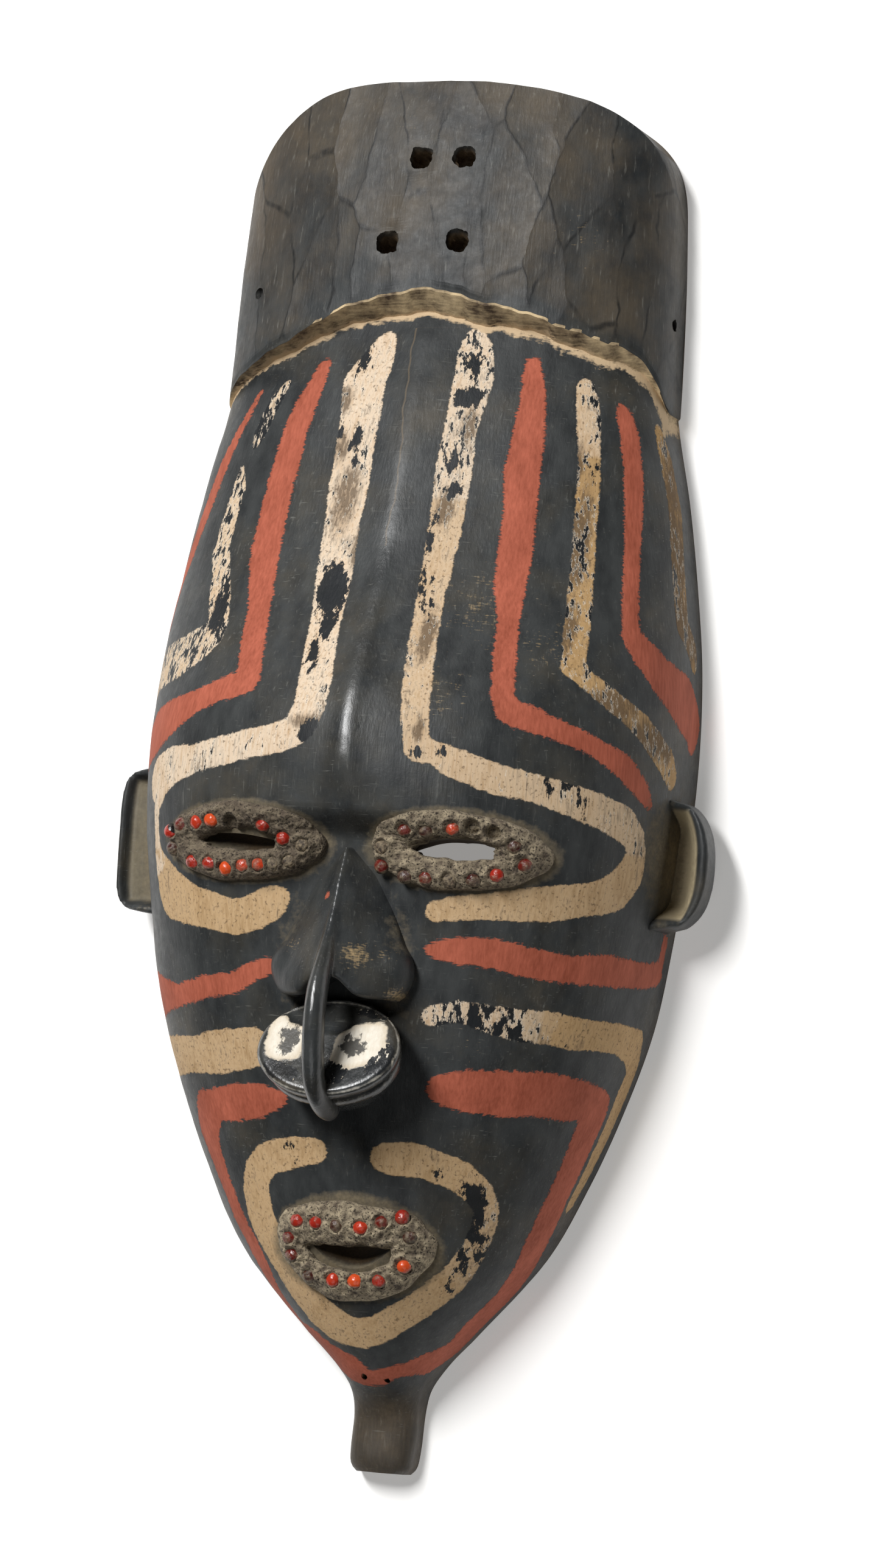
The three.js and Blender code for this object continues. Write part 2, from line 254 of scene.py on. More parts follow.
def carved_block(name: str, across: int, along: int, back: float, place: Place) -> Solid:
    """Carves a closed block with a shaped front and a flat back.

    Args:
        name: The name of the block.
        across: Faces from side to side.
        along: Faces from end to end.
        back: The height of the flat back.
        place: Gives a point of the front for each place in a grid of -1 to 1 both ways.

    Returns:
        The block as an object, in millimetres.
    """
    bm = bmesh.new()
    bmesh.ops.create_grid(bm, x_segments=across, y_segments=along, size=1.0)
    placed(bm, place)
    foot = [edge for edge in bm.edges if edge.is_boundary]
    for level in (back + SKIRT_STEP, back):
        skirt = bmesh.ops.extrude_edge_only(bm, edges=foot)["geom"]
        for vert in (part for part in skirt if isinstance(part, bmesh.types.BMVert)):
            vert.co.z = level
        foot = [part for part in skirt if isinstance(part, bmesh.types.BMEdge) and part.is_boundary]
    bmesh.ops.holes_fill(bm, edges=foot, sides=0)
    return link_mesh(bm, name)


def carved_box(name: str, cuts: int, place: Callable[..., Array]) -> Solid:
    """Carves a closed box by moving the points of a cube whose sides run from -1 to 1.

    Args:
        name: The name of the box.
        cuts: How often each side is cut.
        place: Gives a point for each X, Y and Z in the cube.

    Returns:
        The box as an object, in millimetres.
    """
    bm = bmesh.new()
    bmesh.ops.create_cube(bm, size=2.0)
    bmesh.ops.subdivide_edges(bm, edges=bm.edges[:], cuts=cuts, use_grid_fill=True)
    cube = np.array([vert.co[:] for vert in bm.verts])
    for vert, spot in zip(bm.verts, place(cube[:, 0], cube[:, 1], cube[:, 2])):
        vert.co = spot
    return link_mesh(bm, name)


def carved_ring(name: str, around: int, section: int, place: Place) -> Solid:
    """Carves a grid into a closed tube or ring.

    Args:
        name: The name of the piece.
        around: Faces round the first way, which always closes on itself.
        section: Faces the second way. Where its two ends meet they are joined, and else they are filled.
        place: Gives a point for each place in a grid of -1 to 1 both ways.

    Returns:
        The closed piece as an object, in millimetres.
    """
    bm = bmesh.new()
    bmesh.ops.create_grid(bm, x_segments=around, y_segments=section, size=1.0)
    placed(bm, place)
    bmesh.ops.remove_doubles(bm, verts=bm.verts, dist=1e-4)
    ends = [edge for edge in bm.edges if edge.is_boundary]
    if ends:
        bmesh.ops.holes_fill(bm, edges=ends, sides=0)
    return link_mesh(bm, name)


def finished(made: Solid) -> Solid:
    """Applies an object's modifiers to its mesh.

    Args:
        made: The object.

    Returns:
        The same object.
    """
    graph = bpy.context.evaluated_depsgraph_get()
    mesh = bpy.data.meshes.new_from_object(made.evaluated_get(graph))
    made.modifiers.clear()
    made.data = mesh
    return made


def combined(made: Solid, other: Solid, operation: str) -> Solid:
    """Joins or cuts one solid with another, which is then removed.

    Args:
        made: The solid that stays.
        other: The solid that it is joined or cut with.
        operation: UNION, DIFFERENCE or INTERSECT.

    Returns:
        The solid that stays.
    """
    modifier = made.modifiers.new("cut", "BOOLEAN")
    modifier.object = other
    modifier.operation = operation
    modifier.solver = "MANIFOLD"
    finished(made)
    bpy.data.objects.remove(other)
    return made


def remeshed(made: Solid, voxel: float, softening: int) -> Solid:
    """Rebuilds a solid from even faces and softens its edges.

    Args:
        made: The solid.
        voxel: The face size in millimetres.
        softening: How many times the surface is smoothed.

    Returns:
        The same object.
    """
    remesh = made.modifiers.new("even", "REMESH")
    remesh.mode = "VOXEL"
    remesh.voxel_size = voxel
    smooth = made.modifiers.new("soft", "SMOOTH")
    smooth.factor = 0.5
    smooth.iterations = softening
    return finished(made)


def bored_hole(radius: float, depth: float, flare: float, corners: float, seed: float) -> Solid:
    """Makes the cutter of a hole along Z whose wall is torn, as a hot iron or a knife leaves it.

    Args:
        radius: The radius of the hole.
        depth: The length of the cutter.
        flare: How much wider the hole is at its mouth.
        corners: 2 for a round hole, more for a squarer one.
        seed: Shifts the pattern of the torn wall.

    Returns:
        The cutter in millimetres, with the mouth of the hole at the origin.
    """

    def place(turn: Array, along: Array) -> Array:
        """Gives points of the wall.

        Args:
            turn: -1 to 1, once round it.
            along: -1 at the lower end, 1 at the upper end.

        Returns:
            Rows of X, Y and Z.
        """
        angle = math.pi * turn
        square = (np.abs(np.cos(angle)) ** corners + np.abs(np.sin(angle)) ** corners) ** (-1 / corners)
        ring = np.stack([np.cos(angle) * radius, np.sin(angle) * radius, along * depth / 2], -1)
        torn = radius * square * (1 + 0.2 * rough(ring, 1.6, 3, seed)) + flare * soft_step(ring[:, 2], -3, 1)
        return np.stack([np.cos(angle) * torn, np.sin(angle) * torn, ring[:, 2]], -1)

    return carved_ring("hole", 44, 40, place)


def egg(name: str, centre: Triple, radii: Triple) -> Solid:
    """Makes an ellipsoid, such as the cutter of a nostril.

    Args:
        name: Its name.
        centre: Its middle.
        radii: Its reach along X, Y and Z.

    Returns:
        The ellipsoid.
    """
    bm = bmesh.new()
    size = Matrix.Diagonal((*radii, 1.0))
    bmesh.ops.create_uvsphere(
        bm, u_segments=40, v_segments=24, radius=1.0, matrix=Matrix.Translation(centre) @ size,
    )
    return link_mesh(bm, name)


def settle(made: Solid, material: bpy.types.Material, slot: str, *nodes: str) -> Solid:
    """Finishes a piece: metres, smooth faces, material, and its place in the frame.

    Args:
        made: The piece, in millimetres.
        material: What it is made of.
        slot: The record's material slot; not used.
        *nodes: The solids it stands for.

    Returns:
        The same object.
    """
    made.data.transform(Matrix.Scale(MM, 4))
    made.data.shade_smooth()
    made.data.set_sharp_from_angle(angle=math.radians(CRISP_ANGLE))
    made.data.materials.clear()
    made.data.materials.append(material)
    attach(made, BODY)
    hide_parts(*nodes)
    LOG.info("%s: %d faces", made.name, len(made.data.polygons))
    return made


class MaterialNodes:
    """A new material, its nodes, and the sockets that go by a name."""

    def __init__(self, name: str) -> None:
        """Makes the material under a name."""
        self.material = bpy.data.materials.new(name)
        self.material.use_nodes = True
        self.tree = self.material.node_tree
        self.shader = self.tree.nodes["Principled BSDF"]
        self.named = {"place": self.add("TexCoord", out="Object")}

    def add(self, kind: str, inputs: dict | tuple = (), out: int | str = 0, **settings: Any) -> Socket:
        """Adds a node with its settings and links.

        Args:
            kind: The node's type without the word ShaderNode, then its operation or type of data if it has one.
            inputs: What each input takes, as feed reads it.
            out: The output asked for, by name or number.
            **settings: The node's own settings.

        Returns:
            The socket of that output.
        """
        kind, _, choice = kind.partition(" ")
        node = self.tree.nodes.new(f"ShaderNode{kind}")
        if choice:
            setattr(node, "data_type" if kind == "Mix" else "operation", choice)
        for name, value in settings.items():
            setattr(node, name, value)
        self.feed(node, inputs)
        return node.outputs[out]

    def feed(self, node: bpy.types.Node, inputs: dict | tuple) -> None:
        """Sets and links a node's inputs.

        Args:
            node: The node.
            inputs: The inputs in order, or by name or number. Each is a value, a hex colour, a socket, or the name
                of a pattern or of a number that the piece stores for each vertex.
        """
        for key, value in inputs.items() if isinstance(inputs, dict) else enumerate(inputs):
            if isinstance(value, str) and value.startswith("#"):
                value = linear(value)
            elif isinstance(value, str):
                if value not in self.named:
                    self.named[value] = self.add("Attribute", out="Fac", attribute_name=value)
                value = self.named[value]
            if isinstance(value, Socket):
                self.tree.links.new(value, node.inputs[key])
            else:
                node.inputs[key].default_value = value


@dataclass(frozen=True)
class FaceForm:
    """The carved form of the face, the same as that of its solid."""

    rim_wall: float = 10.0
    wall: float = 11.0
    peg_end: float = -230.0
    cap_top: float = 230.0
    half_widths: Stations = (
        (-230, 8.5), (-228, 10.2), (-222, 10.9), (-208, 11.1), (-201, 12.6), (-193, 18.2), (-184, 27),
        (-158, 49.8), (-132, 63.4), (-106, 73.8), (-80, 81.8), (-54, 86), (-22, 89.4), (10, 91), (40, 90),
        (68, 86.5), (95, 82), (120, 76.5), (160, 70),
    )
    heights: Stations = (
        (-230, 11), (-226, 13.5), (-212, 14), (-204, 19), (-196, 29), (-180, 41), (-155, 51), (-128, 61),
        (-100, 71), (-70, 80), (-40, 87), (-18, 92), (4, 92), (18, 88.5), (32, 82), (50, 73), (70, 64.5),
        (90, 58), (108, 53.5), (124, 49), (140, 43), (152, 39.5), (162, 37),
    )
    sways: Stations = ((-230, 0.5), (-215, 1.3), (-198, 1.9), (-186, 1), (-165, 0))
    powers: Stations = ((-200, 2.3), (-150, 2.25), (-80, 2.3), (-30, 2.4), (20, 2.25), (60, 2.25), (110, 2.3))
    # Height, reach to each side, the Y of its top and of its bottom, how far it fades at each, and its power
    keel: tuple[float, ...] = (3, 30, 140, -20, 20, 20, 1.6)
    crest: tuple[float, ...] = (1.1, 6, 48, -16, 24, 10, 1.3)
    # The Y of the brow's edge, its fall, depth and width, and the Y where it is lost
    brow: tuple[float, ...] = (-17.5, 9.5, 8.4, 32, -105)
    # X, Y, height, and reach along X and Y
    lips: tuple[float, ...] = (0.5, -157, 4, 27, 19)

    def relief(self, x: Array, y: Array) -> Array:
        """Gives the height that carving adds to the plain section of the face: keel, crest, brow and lips.

        Args:
            x: Places across the mask.
            y: Places along it.

        Returns:
            The height at each place.
        """
        ridge = 0.0
        for height, reach, top, bottom, above, below, power in (self.keel, self.crest):
            fade = soft_step(y, bottom, bottom + below) * (1 - soft_step(y, top, top + above))
            ridge = ridge + height * fade * np.clip(1 - np.abs(x) / reach, 0, 1) ** power
        edge, fall, depth, width, lost = self.brow
        under = (1 - soft_step(y, edge - fall, edge)) * soft_step(y, lost, edge - fall)
        mouth_x, mouth_y, mound, reach_x, reach_y = self.lips
        lips = mound * bell(x - mouth_x, reach_x) * bell(y - mouth_y, reach_y)
        return ridge - depth * under * bell(x, width) + lips

    def surface(self, turn: Array, y: Array) -> Array:
        """Gives points of the face.

        Args:
            turn: -1 at the left rim, 0 along the middle, 1 at the right rim.
            y: The place along the mask.

        Returns:
            Rows of X, Y and Z in millimetres.
        """
        height = through(self.heights, y)
        rim = np.minimum(self.rim_wall, 0.5 * height)
        angle = np.clip(turn, -1, 1) * math.pi / 2
        power = 2 / through(self.powers, y)
        x = through(self.half_widths, y) * np.sign(turn) * np.abs(np.sin(angle)) ** power
        z = rim + (height - rim) * np.maximum(0, np.cos(angle)) ** power
        return np.stack([x + through(self.sways, y), y, z + self.relief(x, y)], -1)

    def height_at(self, x: Any, y: Any) -> Array:
        """Gives the height of the face.

        Args:
            x: Places across the mask.
            y: Places along it.

        Returns:
            The height at each place.
        """
        power = through(self.powers, y)
        share = np.clip(np.abs(x) / through(self.half_widths, y), 0, 1)
        crown = (through(self.heights, y) - self.rim_wall) * (1 - share**power) ** (1 / power)
        return self.rim_wall + crown + self.relief(np.asarray(x, float), np.asarray(y, float))

    def depth_share(self, points: Array) -> Array:
        """Tells how far out points lie in the face's section.

        Args:
            points: Rows of X, Y and Z.

        Returns:
            1 for a point on the surface, less inside the wood.
        """
        x, y, z = points.T
        height = through(self.heights, y)
        rim = np.minimum(self.rim_wall, 0.5 * height)
        share = np.abs(x - through(self.sways, y)) / through(self.half_widths, y)
        rise = np.maximum(z - self.relief(x, y) - rim, 0) / (height - rim)
        power = through(self.powers, y)
        return (share**power + rise**power) ** (1 / power)


@dataclass(frozen=True)
class CapForm:
    """The cap over the forehead: its lower edge is an arc, and its top corners are well rounded."""

    half_widths: Stations = ((110, 76.5), (135, 76.5), (165, 75.8), (190, 74.5), (230, 72))
    heights: Stations = ((110, 58), (135, 52), (158, 48), (180, 46), (206, 42), (230, 36))
    edge_y: float = 157.2
    edge_line: Stations = (
        (-76.5, 121), (-72, 126), (-67, 129.3), (-57, 135.7), (-39, 145.6), (-22, 153), (-8, 156.6), (2, 157.2),
        (10, 156), (30, 151.5), (40, 148.7), (58, 144), (70, 138.5), (74, 132), (76.5, 122),
    )
    ledge: Stations = (
        (-75, 1.6), (-60, 1.8), (-42, 3), (-25, 4.8), (-7, 6.2), (7, 6.8), (20, 6.4), (28, 5.2), (37, 4.4),
        (45, 4.8), (54, 5.4), (63, 5.6), (70, 5), (76, 3),
    )
    corner_drop: float = 44.0
    # Two powers: the larger the first and the smaller the second, the squarer the corner
    left_corner: Pair = (4, 0.75)
    right_corner: Pair = (2.4, 0.3)
    ledge_rows: int = 7
    waver: float = 0.45

    def edge(self, x: Array) -> Array:
        """Gives the Y of the cap's lower edge at places across the mask, with the waver of a knife cut."""
        waver = np.sin(0.19 * x + 1) + 0.7 * np.sin(0.47 * x + 2) + 0.4 * np.sin(1.1 * x)
        return through(self.edge_line, x) + self.waver * waver

    def top(self, turn: Array, share: Array, full: float) -> Array:
        """Gives the Y of the cap's top edge.

        Args:
            turn: Places across the cap, less than 0 on the left.
            share: The same places as a share of the half width.
            full: The Y of the top in the middle.

        Returns:
            The Y at each place.
        """
        spread = np.where(turn < 0, self.left_corner[0], self.right_corner[0])
        bend = np.where(turn < 0, self.left_corner[1], self.right_corner[1])
        return full - self.corner_drop * (1 - (1 - np.minimum(share, 1) ** spread) ** bend)


class Part(Enum):
    """The parts of the carved wood, by the number that each of their vertices keeps."""

    SHELL = 1
    NOSE = 2
    DISC = 3
    EAR = 4


def marked(made: Solid, part: Part) -> Solid:
    """Marks a mesh's vertices as one part of the carved wood, with no pale worn edge and painted highlight, and no
    lining, where it has none yet.

    Args:
        made: The part's object.
        part: Which part it is.

    Returns:
        The same object.
    """
    count = len(made.data.vertices)
    store(made.data, "part", np.full(count, part.value))
    for name in ("worn_edge_and_highlight", "lining"):
        if name not in made.data.attributes:
            store(made.data, name, np.zeros(count))
    return made


@dataclass(frozen=True)
class MaskShell:
    """The face, the cap and the hollow behind them, as one carved piece."""

    form: FaceForm
    cap: CapForm
    face_faces: tuple[int, int] = (146, 288)
    cap_faces: tuple[int, int] = (170, 88)
    hollow_faces: tuple[int, int] = (60, 96)
    hollow_heights: Stations = (
        (-186, 3), (-176, 17), (-160, 31), (-140, 42), (-120, 51), (-100, 58), (-70, 66), (-40, 72), (-16, 77),
        (8, 77), (30, 70), (50, 61), (70, 52), (90, 45.5), (110, 41), (130, 36.5), (150, 32.5), (170, 32),
        (200, 30), (242, 22),
    )
    hollow_power: float = 2.2
    hollow_clear: float = 5.0
    lashing_holes: tuple[Pair, ...] = ((-6.2, 203), (8.8, 203.5), (-14.6, 173.9), (9.6, 174.9))
    lashing_radius: float = 3.5
    lashing_lean: float = 0.34
    lashing_flare: float = 0.5
    lashing_corners: float = 2.8
    # X, Y, Z and the turn from upright
    side_holes: tuple[Four, ...] = ((-62.6, 158, 34, 50), (76, 153.5, 12, -82))
    side_hole_radius: float = 1.8
    # How far the cutters of the lashing holes, the side holes and the pin holes reach
    bore_depths: Triple = (50, 40, 8)
    pin_holes: tuple[Triple, ...] = ((-1.3, -198.8, 22), (6.3, -199.3, 19))
    pin_hole_radius: float = 0.9

    def face(self) -> Solid:
        """Carves the face with a flat back.

        Returns:
            The face, which ends under the cap.
        """
        last = self.cap.edge_y + 2

        def place(turn: Array, along: Array) -> Array:
            """Gives points of the face.

            Args:
                turn: -1 at the left, 1 at the right.
                along: -1 at the lower end, 1 at the upper end.

            Returns:
                Rows of X, Y and Z.
            """
            y = self.form.peg_end + (last - self.form.peg_end) * (along + 1) / 2
            return self.form.surface(turn, y)

        return carved_block("face", *self.face_faces, 0.0, place)

    def cap_block(self) -> Solid:
        """Carves the cap, with a ledge that slopes in under its lower edge.

        Returns:
            The cap with a flat back.
        """
        cap, rim = self.cap, self.form.rim_wall
        power = float(through(self.form.powers, self.form.cap_top))

        def place(turn: Array, along: Array) -> Array:
            """Gives points of the ledge, up to sloped, and of the cap's outside.

            Args:
                turn: -1 at the left, 1 at the right.
                along: -1 at the lower end, 1 at the upper end.

            Returns:
                Rows of X, Y and Z.
            """
            angle = np.abs(turn) * math.pi / 2
            share = np.sin(angle) ** (2 / power)
            flat_x = share * np.sign(turn) * float(through(cap.half_widths, cap.edge_y))
            low = cap.edge(flat_x)
            high = cap.top(turn, share, self.form.cap_top)
            sloped = 2 * cap.ledge_rows / self.cap_faces[1]
            climb = np.clip((along + 1 - sloped) / (2 - sloped), 0, 1)
            rise = np.clip((along + 1) / sloped, 0, 1)
            y = low + (high - low) * climb
            x = share * through(cap.half_widths, y) * np.sign(turn)
            z = rim + (through(cap.heights, y) - rim) * np.maximum(0, np.cos(angle)) ** (2 / power)
            foot_y = y - through(cap.ledge, x)
            foot_z = np.minimum(self.form.height_at(x, foot_y) - 0.6, z)
            y = foot_y + (y - foot_y) * rise
            return np.stack([x * (0.97 + 0.03 * rise), y, foot_z + (z - foot_z) * rise**0.9], -1)

        return carved_block("cap", *self.cap_faces, 0.0, place)

    def hollow(self) -> Solid:
        """Carves the space behind the face.

        Returns:
            Its cutter, which runs on past the back and the top.
        """
        first, last = self.hollow_heights[0][0], self.hollow_heights[-1][0]

        def place(turn: Array, along: Array) -> Array:
            """Gives points of the hollow's wall.

            Args:
                turn: -1 at the left, 1 at the right.
                along: -1 at the lower end, 1 at the upper end.

            Returns:
                Rows of X, Y and Z.
            """
            y = first + (last - first) * (along + 1) / 2
            face = through(self.form.half_widths, y)
            cap = through(self.cap.half_widths, y) - self.hollow_clear
            half = np.maximum(np.where(y < self.cap.edge_y, face, cap) - self.form.wall, 2)
            angle = turn * math.pi / 2
            x = half * np.sign(turn) * np.abs(np.sin(angle)) ** (2 / self.hollow_power)
            crown = through(self.hollow_heights, y) - 1
            return np.stack([x, y, 1 + crown * np.maximum(0, np.cos(angle)) ** (2 / self.hollow_power)], -1)

        return carved_block("hollow", *self.hollow_faces, -self.hollow_clear, place)

    def bores(self) -> list[Solid]:
        """Makes the cutters of the small holes.

        Returns:
            The four lashing holes, which lean, the hole at each side of the cap, and the pin holes over the peg.
        """
        lean = Matrix.Identity(4)
        lean[1][2] = self.lashing_lean
        made = []
        for x, y in self.lashing_holes:
            sizes = (self.lashing_radius, self.bore_depths[0], self.lashing_flare, self.lashing_corners)
            hole = bored_hole(*sizes, x)
            hole.data.transform(Matrix.Translation((x, y, float(through(self.cap.heights, y)))) @ lean)
            made.append(hole)
        for x, y, z, turn in self.side_holes:
            hole = bored_hole(self.side_hole_radius, self.bore_depths[1], 0.0, 2.0, x)
            hole.data.transform(Matrix.Translation((x, y, z)) @ Matrix.Rotation(math.radians(-turn), 4, "Y"))
            made.append(hole)
        for x, y, z in self.pin_holes:
            hole = bored_hole(self.pin_hole_radius, self.bore_depths[2], 0.1, 2.0, x)
            hole.data.transform(Matrix.Translation((x, y, z + 2)))
            made.append(hole)
        return made

    def build(self, slits: Iterable[Solid]) -> Solid:
        """Joins the face and the cap, and cuts the hollow, the slits and the holes.

        Args:
            slits: Cutters for the eyes and the mouth, which are used up.

        Returns:
            The shell, in millimetres.
        """
        shell = marked(combined(self.face(), self.cap_block(), "UNION"), Part.SHELL)
        ears = Ears(self.form)
        for side in Side:
            combined(shell, marked(ears.build(side), Part.EAR), "UNION")
        shell = combined(shell, marked(self.hollow(), Part.SHELL), "DIFFERENCE")
        combined(shell, marked(Nose().build(), Part.NOSE), "UNION")
        combined(shell, marked(RingedDisc().build(), Part.DISC), "UNION")
        for slit in slits:
            combined(shell, slit, "DIFFERENCE")
        for hole in self.bores():
            combined(shell, hole, "DIFFERENCE")
        shell.name = "carved_shell"
        return shell


@dataclass(frozen=True)
class Nose:
    """A wedge with a lobe at each side, two nostrils, and a rod that runs on from its ridge and curls under."""

    root_y: float = -29.0
    tip_y: float = -78.5
    # How far the wings' foot arches up, and where across the nose that starts and ends
    arch: Triple = (6.5, 0.1, 0.6)
    half_widths: Stations = (
        (0, 1), (0.17, 10.6), (0.29, 13.3), (0.47, 17), (0.68, 21), (0.84, 22.4), (0.94, 21), (1, 18),
    )
    ridges: Pair = (85, 100)
    drops: Pair = (6, 15)
    bases: Pair = (77, 70)
    widening: float = 0.42
    lobe: Triple = (14.6, -68.8, 79.5)
    lobe_radii: Triple = (9.6, 9.8, 9.2)
    nostril: Triple = (10, -79.5, 80)
    nostril_radii: Triple = (6.4, 8, 7)
    # X, Y, Z and the radius
    rod_line: tuple[Four, ...] = (
        (0, -30, 84, 0.6), (0, -40, 88.1, 0.9), (0, -50, 91.2, 1.4), (0, -60, 94.8, 2.2), (0, -70, 99.3, 3),
        (0, -78, 102.6, 3.45), (0, -86, 103.6, 3.6), (0, -96, 102.8, 3.6), (0, -106, 99.2, 3.55),
        (0.6, -112.5, 92.5, 3.3), (1.6, -115, 84, 2.9),
    )
    rod_rise: float = 1.25
    voxel: float = 0.75

    def wedge(self) -> Solid:
        """Carves the ridge, the flanks and the short side walls, which widen quickly to the lobes.

        Returns:
            The wedge.
        """

        def place(across: Array, along: Array, front: Array) -> Array:
            """Gives points of the wedge, where t runs from the root to the tip.

            Args:
                across: -1 at the left, 1 at the right.
                along: -1 at the lower end, 1 at the upper end.
                front: -1 at the back, 1 at the front.

            Returns:
                Rows of X, Y and Z.
            """
            t = (1 - along) / 2
            spread = t**self.widening
            side = np.abs(across)
            winged = soft_step(t, 0.4, 0.9)
            bow = (1 - winged) * side**1.25 + winged * (0.4 * side**0.8 + 0.6 * side**2.6)
            flank = (self.drops[0] + (self.drops[1] - self.drops[0]) * spread) * bow
            ridge = self.ridges[0] + (self.ridges[1] - self.ridges[0]) * t - flank
            base = self.bases[0] + (self.bases[1] - self.bases[0]) * t
            half = through(self.half_widths, t)
            z = base + (ridge - base) * (front + 1) / 2
            rise, start, end = self.arch
            tip = self.tip_y + rise * (1 - soft_step(side, start, end))
            return np.stack([across * half, self.root_y + (tip - self.root_y) * t, z], -1)

        return carved_box("nose", 24, place)

    def rod(self) -> Solid:
        """Carves the rod, taller than it is wide.

        Returns:
            The rod, from inside the ridge to its curled end.
        """
        knots = np.arange(len(self.rod_line), dtype=float)
        last = knots[-1]

        def place(turn: Array, along: Array) -> Array:
            """Gives points round the rod's line, square to its course.

            Args:
                turn: -1 to 1, once round it.
                along: -1 at its root, 1 at its end.

            Returns:
                Rows of X, Y and Z.
            """
            at = (along + 1) / 2 * last
            x, y, z, radius = (through(tuple(zip(knots, track)), at) for track in zip(*self.rod_line))
            ahead = through(tuple(zip(knots, [p[1] for p in self.rod_line])), at + 0.05) - y
            climb = through(tuple(zip(knots, [p[2] for p in self.rod_line])), at + 0.05) - z
            length = np.maximum(np.hypot(ahead, climb), 1e-6)
            side, rise = radius * np.cos(math.pi * turn), radius * self.rod_rise * np.sin(math.pi * turn)
            return np.stack([x + side, y + rise * climb / length, z - rise * ahead / length], -1)

        return carved_ring("rod", 24, 90, place)

    def build(self) -> Solid:
        """Joins the wedge, the lobes and the rod, and cuts the nostrils.

        Returns:
            The nose.
        """
        made = self.wedge()
        for side in Side:
            lobe = (side.value * self.lobe[0], *self.lobe[1:])
            combined(made, egg("lobe", lobe, self.lobe_radii), "UNION")
        remeshed(made, self.voxel, 22)
        for side in Side:
            nostril = (side.value * self.nostril[0], *self.nostril[1:])
            combined(made, egg("nostril", nostril, self.nostril_radii), "DIFFERENCE")
        combined(made, self.rod(), "UNION")
        return remeshed(made, self.voxel, 7)


@dataclass(frozen=True)
class RingedDisc:
    """The disc under the nose: its face tips up, two grooves run round its side, its base is in the face."""

    centre: Triple = (0, -94, 89)
    half_width: float = 24.0
    half_height: float = 18.0
    tilt: float = 0.49
    # The place in the section, the share of the disc's width, and the height over its face
    rows: tuple[Triple, ...] = (
        (0, 0, -26), (0.04, 0.5, -26), (0.2, 0.8, -13), (0.24, 0.78, -11.6), (0.29, 0.94, -10), (0.35, 0.94, -7),
        (0.39, 0.87, -5.8), (0.43, 0.98, -4.6), (0.5, 1, -1.5), (0.55, 0.94, 0), (1, 0, 0),
    )
    lid: Stations = (
        (-24, 13), (-16.6, 10.9), (-14, 8.3), (-7.4, 6.9), (2.5, 5.2), (9.8, 10.2), (19, 11.6), (24, 12),
    )
    lid_drop: float = 1.1
    around: int = 116
    section: int = 48

    def lid_gap(self, x: Array, y: Array) -> Array:
        """Gives how far places on the disc lie above the crease across its upper part."""
        return y - through(self.lid, x)

    def build(self) -> Solid:
        """Turns the profile into the disc, presses its upper part back and marks its pale worn edges, which are
        partly a painted highlight.

        Returns:
            The disc in its place.
        """
        marks, shares, heights = np.array(self.rows).T

        def place(turn: Array, along: Array) -> Array:
            """Gives points of the disc before it tips.

            Args:
                turn: -1 to 1, once round it.
                along: -1 in its base, 1 in the middle of its face.

            Returns:
                Rows of X, Y and Z.
            """
            spot = (along + 1) / 2
            share, height = np.interp(spot, marks, shares), np.interp(spot, marks, heights)
            x = self.half_width * share * np.cos(math.pi * turn)
            y = self.half_height * share * np.sin(math.pi * turn)
            above = self.lid_gap(x, y)
            on_face = soft_step(height, -1.5, -0.2)
            crease = self.lid_drop * soft_step(above, -0.4, 0.8) + 0.16 * np.maximum(above, 0)
            return np.stack([x, y, height - on_face * crease], -1)

        made = carved_ring("disc", self.around, self.section, place)
        soft = made.modifiers.new("soft", "SMOOTH")
        soft.factor = 0.5
        soft.iterations = 2
        finished(made)
        x, y, height = vectors(made.data).T
        share = np.hypot(x / self.half_width, y / self.half_height)
        # A pale line round the front rim and along the first groove: worn paint, and partly a painted highlight
        rim = bell(share - 0.97, 0.025) * soft_step(height, -4, -2)
        rim += 0.7 * bell(share - 0.93, 0.02) * bell(height + 8, 3)
        store(made.data, "worn_edge_and_highlight", np.clip(rim, 0, 1))
        made.data.transform(Matrix.Translation(self.centre) @ Matrix.Rotation(-self.tilt, 4, "X"))
        return made

    def local(self, points: Array) -> Array:
        """Turns points of the mask to the disc's own.

        Args:
            points: Rows of X, Y and Z.

        Returns:
            Rows of X and Y on the disc and the height over its face.
        """
        back = (Matrix.Translation(self.centre) @ Matrix.Rotation(-self.tilt, 4, "X")).inverted()
        turn = np.array(back.to_3x3())
        return points @ turn.T + np.array(back.translation)


